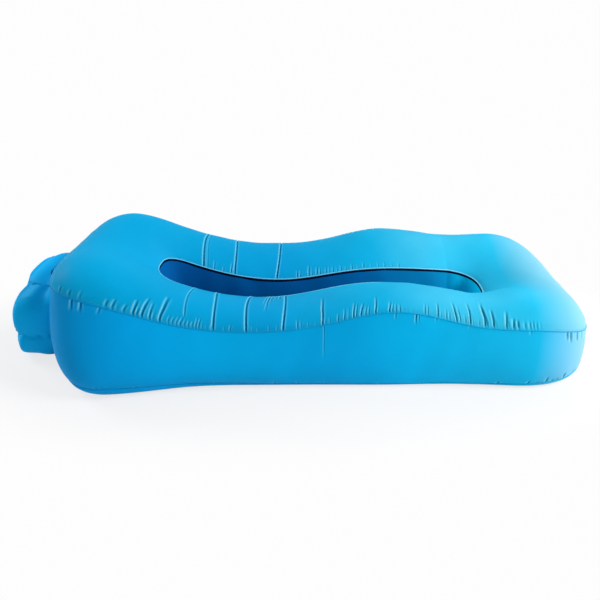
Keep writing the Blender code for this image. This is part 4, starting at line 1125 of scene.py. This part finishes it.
def strap_path():
    """The webbing's middle line, level: from a short lap, round the plug's bar, through the
    roll, round the socket's bar and back in a short lap."""
    leg = math.hypot(0.5 * FRAME_THICKNESS, 0.5 * BAR_LENGTH) + SEAT_GAP + 0.5 * STRAP_THICKNESS
    lap = STRAP_THICKNESS + SEAT_GAP
    lap_y = ROLL_END_Y - STRAP_THICKNESS
    core = roll_path()[0]

    def loop(side, bar_y):
        turn = math.pi * np.arange(13) / 12
        start = [[ROLL_END_X + lap, side * lap_y], [ROLL_END_X + leg, bar_y + side * leg]]
        bend = np.stack(
            [ROLL_END_X + leg * np.cos(turn), bar_y - side * leg * np.sin(turn)], axis=1
        )
        return np.concatenate([start, bend, [[ROLL_END_X - leg, bar_y + side * leg]]])

    plug_bar = BUCKLE_Y - PLUG_LENGTH + 0.5 * BAR_LENGTH
    socket_bar = BUCKLE_Y + SOCKET_LENGTH + FRAME_LENGTH - 0.5 * BAR_LENGTH
    return np.concatenate([loop(-1.0, plug_bar), core, loop(1.0, socket_bar)[::-1]])


def band_section(width):
    """Webbing's cross-section: a flat oval with full edges, as sideways and upward offsets."""
    angle = TURN * np.arange(BAND_SIDES) / BAND_SIDES
    side = 0.5 * STRAP_THICKNESS * np.sign(np.sin(angle)) * np.abs(np.sin(angle)) ** 0.55
    up = 0.5 * width * np.sign(np.cos(angle)) * np.abs(np.cos(angle)) ** 0.35
    return side[None, :], up[None, :]


def make_strap_band():
    path = strap_path()
    step = np.diff(path, axis=0)
    course = np.arctan2(step[:, 1], step[:, 0])
    heading = np.unwrap(np.concatenate([course[:1], course]))
    heading = np.concatenate([heading[:1], 0.5 * (heading[1:-1] + heading[2:]), heading[-1:]])
    item = swept("mouth_webbing", path, heading, *band_section(STRAP_WIDTH), walk_along(path))
    dress(item, webbing, ["mouth_strap"])


def make_peg_webbing():
    """The webbing loop by the far foot corner: its ends lie on the seam, its middle bows out
    by a cosine, and its section is a flat oval set upright."""
    places = np.linspace(-0.5, 0.5, 41)
    corner = Sections(SPINE_FOOT_X + (LOOP_ANGLE + LOOP_TURN * places) * FAN_ARC, 1.0)
    line = seam_path(corner, 1.0)
    along = np.gradient(line[:, :2], axis=0)
    along /= np.linalg.norm(along, axis=1)[:, None]
    facing = np.stack([-along[:, 1], along[:, 0], np.zeros(len(line))], axis=1)
    facing *= np.sign(np.sum(facing * line * (1.0, 1.0, 0.0)))
    reach = PIPING_RADIUS + SEAT_GAP + LOOP_STAND_OFF * np.cos(math.pi * places)
    centre = line + facing * (reach + 0.5 * STRAP_THICKNESS)[:, None]
    side, up = (offset[..., None] for offset in band_section(LOOP_WIDTH))
    grid = centre[:, None] + side * facing[:, None] + up * np.array([0.0, 0.0, 1.0])
    round_band = np.arange(BAND_SIDES + 1) * 2.0 * LOOP_WIDTH / BAND_SIDES
    item = add_band("peg_webbing", grid, walk_along(line), round_band)
    dress(item, webbing, ["peg_loop"])


# Materials


class Nodes:
    """A short way to place and join the nodes of one tree."""

    def __init__(self, tree):
        self.tree = tree

    def fill(self, node, inputs):
        """Joins or sets a node's sockets, by name or number. A colour is given without alpha."""
        for label, value in inputs.items():
            socket = node.inputs[label]
            if isinstance(value, bpy.types.NodeSocket):
                self.tree.links.new(value, socket)
            elif socket.type == "RGBA":
                socket.default_value = (*value, 1.0)
            else:
                socket.default_value = value

    def add(self, kind, inputs=None, **settings):
        node = self.tree.nodes.new("ShaderNode" + kind)
        for name, value in settings.items():
            setattr(node, name, value)
        self.fill(node, inputs or {})
        return node.outputs

    def math(self, operation, *values):
        return self.add("Math", dict(enumerate(values)), operation=operation)[0]

    def mix(self, share, first, second):
        """A colour between two, by the share."""
        inputs = {"Factor": share, "A": first, "B": second}
        return self.add("Mix", inputs, data_type="RGBA")["Result"]

    def place(self):
        return self.add("TexCoord")["Object"]

    def parts(self, vector):
        return self.add("SeparateXYZ", {0: vector})

    def noise(self, scale, roughness=0.5, detail=2.0):
        inputs = {"Vector": self.place(), "Scale": scale, "Roughness": roughness, "Detail": detail}
        return self.add("TexNoise", inputs)["Fac"]

    def bump(self, height, distance, strength=1.0):
        inputs = {"Height": height, "Distance": distance, "Strength": strength}
        return self.add("Bump", inputs)[0]


def new_group(name, *outputs):
    """A shader node group with named float outputs, its nodes and its output node."""
    tree = bpy.data.node_groups.new(name, "ShaderNodeTree")
    for label in outputs:
        tree.interface.new_socket(label, in_out="OUTPUT", socket_type="NodeSocketFloat")
    return tree, Nodes(tree), tree.nodes.new("NodeGroupOutput")


def new_material(name):
    """A material, its nodes and its shader."""
    material = bpy.data.materials.new(name)
    material.use_nodes = True
    return material, Nodes(material.node_tree), material.node_tree.nodes["Principled BSDF"]


def make_ripstop_group():
    """Plain weave with a heavier thread every few millimetres. The weave is the product of two
    sines of the cloth's own lengths, and the heavy threads are narrow ridges where either
    length comes near a whole number of pitches."""
    tree, n, target = new_group("ripstop", "Height", "Line")
    lengths = n.parts(n.add("UVMap", uv_map="cloth")[0])
    waves = []
    lines = []
    for axis in (0, 1):
        turns = n.math("DIVIDE", lengths[axis], WEAVE_THREAD)
        waves.append(n.math("SINE", n.math("MULTIPLY", turns, TURN)))
        away = n.math("PINGPONG", lengths[axis], 0.5 * WEAVE_PITCH)
        share = n.math("DIVIDE", away, WEAVE_THREAD * WEAVE_RIDGE_SHARE)
        lines.append(n.math("SUBTRACT", 1.0, n.math("MINIMUM", share, 1.0)))
    weave = n.math("MULTIPLY", *waves)
    line = n.math("MAXIMUM", *lines)
    height = n.math("MULTIPLY", n.math("MULTIPLY_ADD", weave, 0.35, line), WEAVE_DEPTH)
    n.fill(target, {"Height": height, "Line": line})
    return tree


def make_crumple_group():
    """Fine unevenness of thin cloth under air: broad and small noise on object coordinates,
    as a height in metres and as a mask from nought to one."""
    tree, n, target = new_group("crumple", "Height", "Mask")
    broad = n.math("MULTIPLY", n.noise(9.0, 0.55, 3.0), CRUMPLE_BROAD)
    small = n.math("MULTIPLY", n.noise(60.0, 0.5, 3.0), CRUMPLE_SMALL)
    n.fill(target, {"Height": n.math("ADD", broad, small), "Mask": n.noise(3.2)})
    return tree


def scaled(color, share):
    """A darker or lighter colour."""
    return [part * share for part in color]


def tone_along(n, tones):
    """A colour that changes along the lounger: a ramp on the object's x."""
    along = n.parts(n.place())["X"]
    share = n.add("MapRange", {"Value": along, "From Min": TONE_LOW, "From Max": TONE_HIGH})
    ramp = n.tree.nodes.new("ShaderNodeValToRGB")
    stops = ramp.color_ramp.elements
    while len(stops) < len(tones):
        stops.new(0.5)
    for stop, (x, color) in zip(stops, tones):
        stop.position = (x - TONE_LOW) / (TONE_HIGH - TONE_LOW)
        stop.color = (*color, 1.0)
    n.fill(ramp, {"Fac": share["Result"]})
    return ramp.outputs["Color"]


def cloth_material(name, tones, sheen):
    """Ripstop: one tone along the lounger, in most cloths painted light and shade, lighter and
    darker in broad patches, with a painted highlight on the crests beside creases and painted
    shade in their valleys, a finer line on each heavy thread, and the height of both groups
    through one bump."""
    material, n, shader = new_material(name)
    weave = n.add("Group", node_tree=ripstop)
    rough = n.add("Group", node_tree=crumpled)
    patch = n.math("MULTIPLY_ADD", rough["Mask"], 0.16, 0.92)
    patch = n.math("MULTIPLY_ADD", weave["Line"], 0.05, patch)
    crest = n.add("Attribute", attribute_name="ridge")["Fac"]
    # Painted shade in the valleys of creases
    valley_shade = n.math("MAXIMUM", n.math("MULTIPLY", crest, -VALLEY_SHARE), 0.0)
    patch = n.math("MULTIPLY", patch, n.math("SUBTRACT", 1.0, valley_shade))
    tone = n.add("VectorMath", {0: tone_along(n, tones), "Scale": patch}, operation="SCALE")
    # A painted highlight: the crests beside creases mixed towards RIDGE_PALE
    painted_crease_tone = n.mix(n.math("MULTIPLY", crest, RIDGE_SHARE), tone["Vector"], RIDGE_PALE)
    spread = n.math("MULTIPLY_ADD", rough["Mask"], 0.10, CLOTH_ROUGHNESS)
    looks = {
        "Base Color": painted_crease_tone,
        "Roughness": n.math("MULTIPLY_ADD", weave["Line"], 0.06, spread),
        "Normal": n.bump(n.math("ADD", weave["Height"], rough["Height"]), 1.0, CLOTH_BUMP),
        "Sheen Weight": sheen,
        "Sheen Roughness": SHEEN_ROUGHNESS,
        "Sheen Tint": SHEEN_TINT,
        "Specular IOR Level": CLOTH_SPECULAR,
    }
    n.fill(shader, looks)
    return material


def thread_material(name, color):
    """Sewing thread: a fine twist as noise in the colour and the height."""
    material, n, shader = new_material(name)
    twist = n.noise(1800.0, 0.6)
    tone = n.mix(twist, scaled(color, 0.7), scaled(color, 1.25))
    looks = {"Base Color": tone, "Roughness": 0.6, "Normal": n.bump(twist, 0.0001)}
    n.fill(shader, looks | {"Sheen Weight": 0.15})
    return material


def webbing_material(name, color):
    """Woven tape: slanting ribs crossed by fine lengthwise threads, from the tape's own
    lengths."""
    material, n, shader = new_material(name)
    lengths = n.parts(n.add("UVMap", uv_map="cloth")[0])
    slope = n.math("ADD", lengths[0], n.math("PINGPONG", lengths[1], 2.0 * RIB_PITCH))
    rib = n.math("SINE", n.math("MULTIPLY", slope, TURN / RIB_PITCH))
    grain = n.math("SINE", n.math("MULTIPLY", lengths[1], 2.0 * TURN / RIB_PITCH))
    height = n.math("MULTIPLY_ADD", grain, 0.35, rib)
    share = n.math("MULTIPLY_ADD", height, 0.3, 0.5)
    tone = n.mix(share, scaled(color, 0.7), scaled(color, 1.5))
    looks = {"Base Color": tone, "Roughness": 0.78, "Normal": n.bump(height, 0.0002)}
    n.fill(shader, looks | {"Sheen Weight": 0.3})
    return material


def plastic_material(name, color):
    """Moulded plastic: a fine spark-eroded grain with faint broad flow marks."""
    material, n, shader = new_material(name)
    grain = n.noise(2600.0, 0.6)
    tone = n.mix(n.noise(70.0), scaled(color, 0.85), scaled(color, 1.3))
    rough = n.math("MULTIPLY_ADD", grain, 0.16, 0.34)
    n.fill(shader, {"Base Color": tone, "Roughness": rough, "Normal": n.bump(grain, 0.00006)})
    return material


# Stage


def set_up(name, data, place, ahead):
    """Puts a camera or light at its place, looking along a direction."""
    item = bpy.data.objects.new(name, data)
    bpy.context.scene.collection.objects.link(item)
    item.location = place
    item.rotation_euler = ahead.to_track_quat("-Z", "Y").to_euler()
    return item


def add_camera():
    data = bpy.data.cameras.new("viewpoint")
    data.lens = CAMERA_LENS
    data.sensor_width = CAMERA_SENSOR
    data.sensor_fit = "HORIZONTAL"
    data.shift_x, data.shift_y = CAMERA_SHIFT
    data.clip_end = 60.0
    bpy.context.scene.camera = set_up("viewpoint", data, CAMERA_PLACE, Vector(CAMERA_AHEAD))


def add_softbox(name, place, aim, size, power):
    data = bpy.data.lights.new(name, "AREA")
    data.shape = "DISK"
    data.size = size
    data.energy = power
    set_up(name, data, place, Vector(aim) - Vector(place))


def pale_surface(name):
    """White to the camera, glossy and transmission rays, apart from a patch round the object
    that keeps a share of its own shading and so the object's shadow. The patch is an oval,
    and fades out by object coordinates."""
    material, n, shader = new_material(name)
    n.fill(shader, {"Base Color": FLOOR_GREY, "Roughness": 0.9, "Specular IOR Level": 0.0})
    glow = n.add("Emission", {"Strength": WHITE_SEEN})[0]
    rays = n.add("LightPath")
    seen = n.math("MAXIMUM", rays["Is Camera Ray"], rays["Is Glossy Ray"])
    seen = n.math("MAXIMUM", seen, rays["Is Transmission Ray"])
    stretched = n.add("Mapping", {"Vector": n.place(), "Scale": PATCH_SCALE})[0]
    away = n.add("VectorMath", {0: stretched}, operation="LENGTH")["Value"]
    fade = {"Value": away, "From Min": PATCH_FADE[0], "From Max": PATCH_FADE[1]}
    patch = n.add("MapRange", fade, interpolation_type="SMOOTHSTEP")["Result"]
    own = n.math("MULTIPLY", patch, SHADOW_SHARE)
    share = n.math("MULTIPLY", seen, n.math("SUBTRACT", 1.0, own))
    surface = n.add("MixShader", {0: share, 1: shader.outputs[0], 2: glow})[0]
    n.fill(material.node_tree.nodes["Material Output"], {"Surface": surface})
    return material


def add_stage():
    """A flat pale floor under a pale sky, with a key light to the right of the foot."""
    side = np.array([-FLOOR_HALF, FLOOR_HALF])
    grid = np.stack(np.meshgrid(side, side, [-FLOOR_DROP], indexing="ij"), axis=-1)[:, :, 0]
    floor = grid_sheet("studio_floor", grid)
    floor.data.materials.append(pale_surface("studio_white"))
    world = bpy.data.worlds.new("studio_air")
    bpy.context.scene.world = world
    world.use_nodes = True
    n = Nodes(world.node_tree)
    seen = n.math("MULTIPLY", n.add("LightPath")["Is Camera Ray"], WHITE_SEEN - AIR_STRENGTH)
    strength = n.math("ADD", seen, AIR_STRENGTH)
    n.fill(world.node_tree.nodes["Background"], {"Strength": strength, "Color": (1.0, 1.0, 1.0)})
    for softbox in SOFTBOXES:
        add_softbox(*softbox)


bpy.context.scene.view_settings.view_transform = "Standard"
add_camera()
ripstop = make_ripstop_group()
crumpled = make_crumple_group()
sky_cloth = cloth_material("sky_cloth", SKY, 0.12)
wall_cloth = cloth_material("wall_cloth", WALL_SKY, 0.12)
well_cloth = cloth_material("well_cloth", WELL_BLUE, 0.03)
sleeve_cloth = cloth_material("sleeve_cloth", SLEEVE_SKY, 0.05)
roll_cloth = cloth_material("roll_cloth", ROLL_NAVY, 0.05)
piping = cloth_material("piping_cloth", SEAM_SKY, 0.05)
rim_cloth = cloth_material("rim_cloth", RIM_SKY, 0.05)
# Near-black cloth for the band under the rim, a painted shadow
rim_shade_cloth = cloth_material("rim_shade_cloth", RIM_SHADE_NAVY, 0.0)
# The well's piping takes the same painted shade and light as the well's cloth
well_piping = cloth_material("well_piping_cloth", WELL_BLUE, 0.0)
thread = thread_material("sky_thread", THREAD_SKY)
webbing = webbing_material("navy_webbing", WEBBING_NAVY)
plastic = plastic_material("black_moulding", BUCKLE_BLACK)

make_top_cover()
make_wall_cover("near", -1.0)
make_wall_cover("far", 1.0)
make_base_cover()
make_well_lining()
make_piping()
make_sleeve_cover()
make_roll_cover()
make_strap_band()
make_peg_webbing()
for node in ("buckle_socket", "buckle_plug", "plug_prong_upper", "plug_prong_lower"):
    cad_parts[node].data.materials.clear()
    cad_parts[node].data.materials.append(plastic)

add_stage()
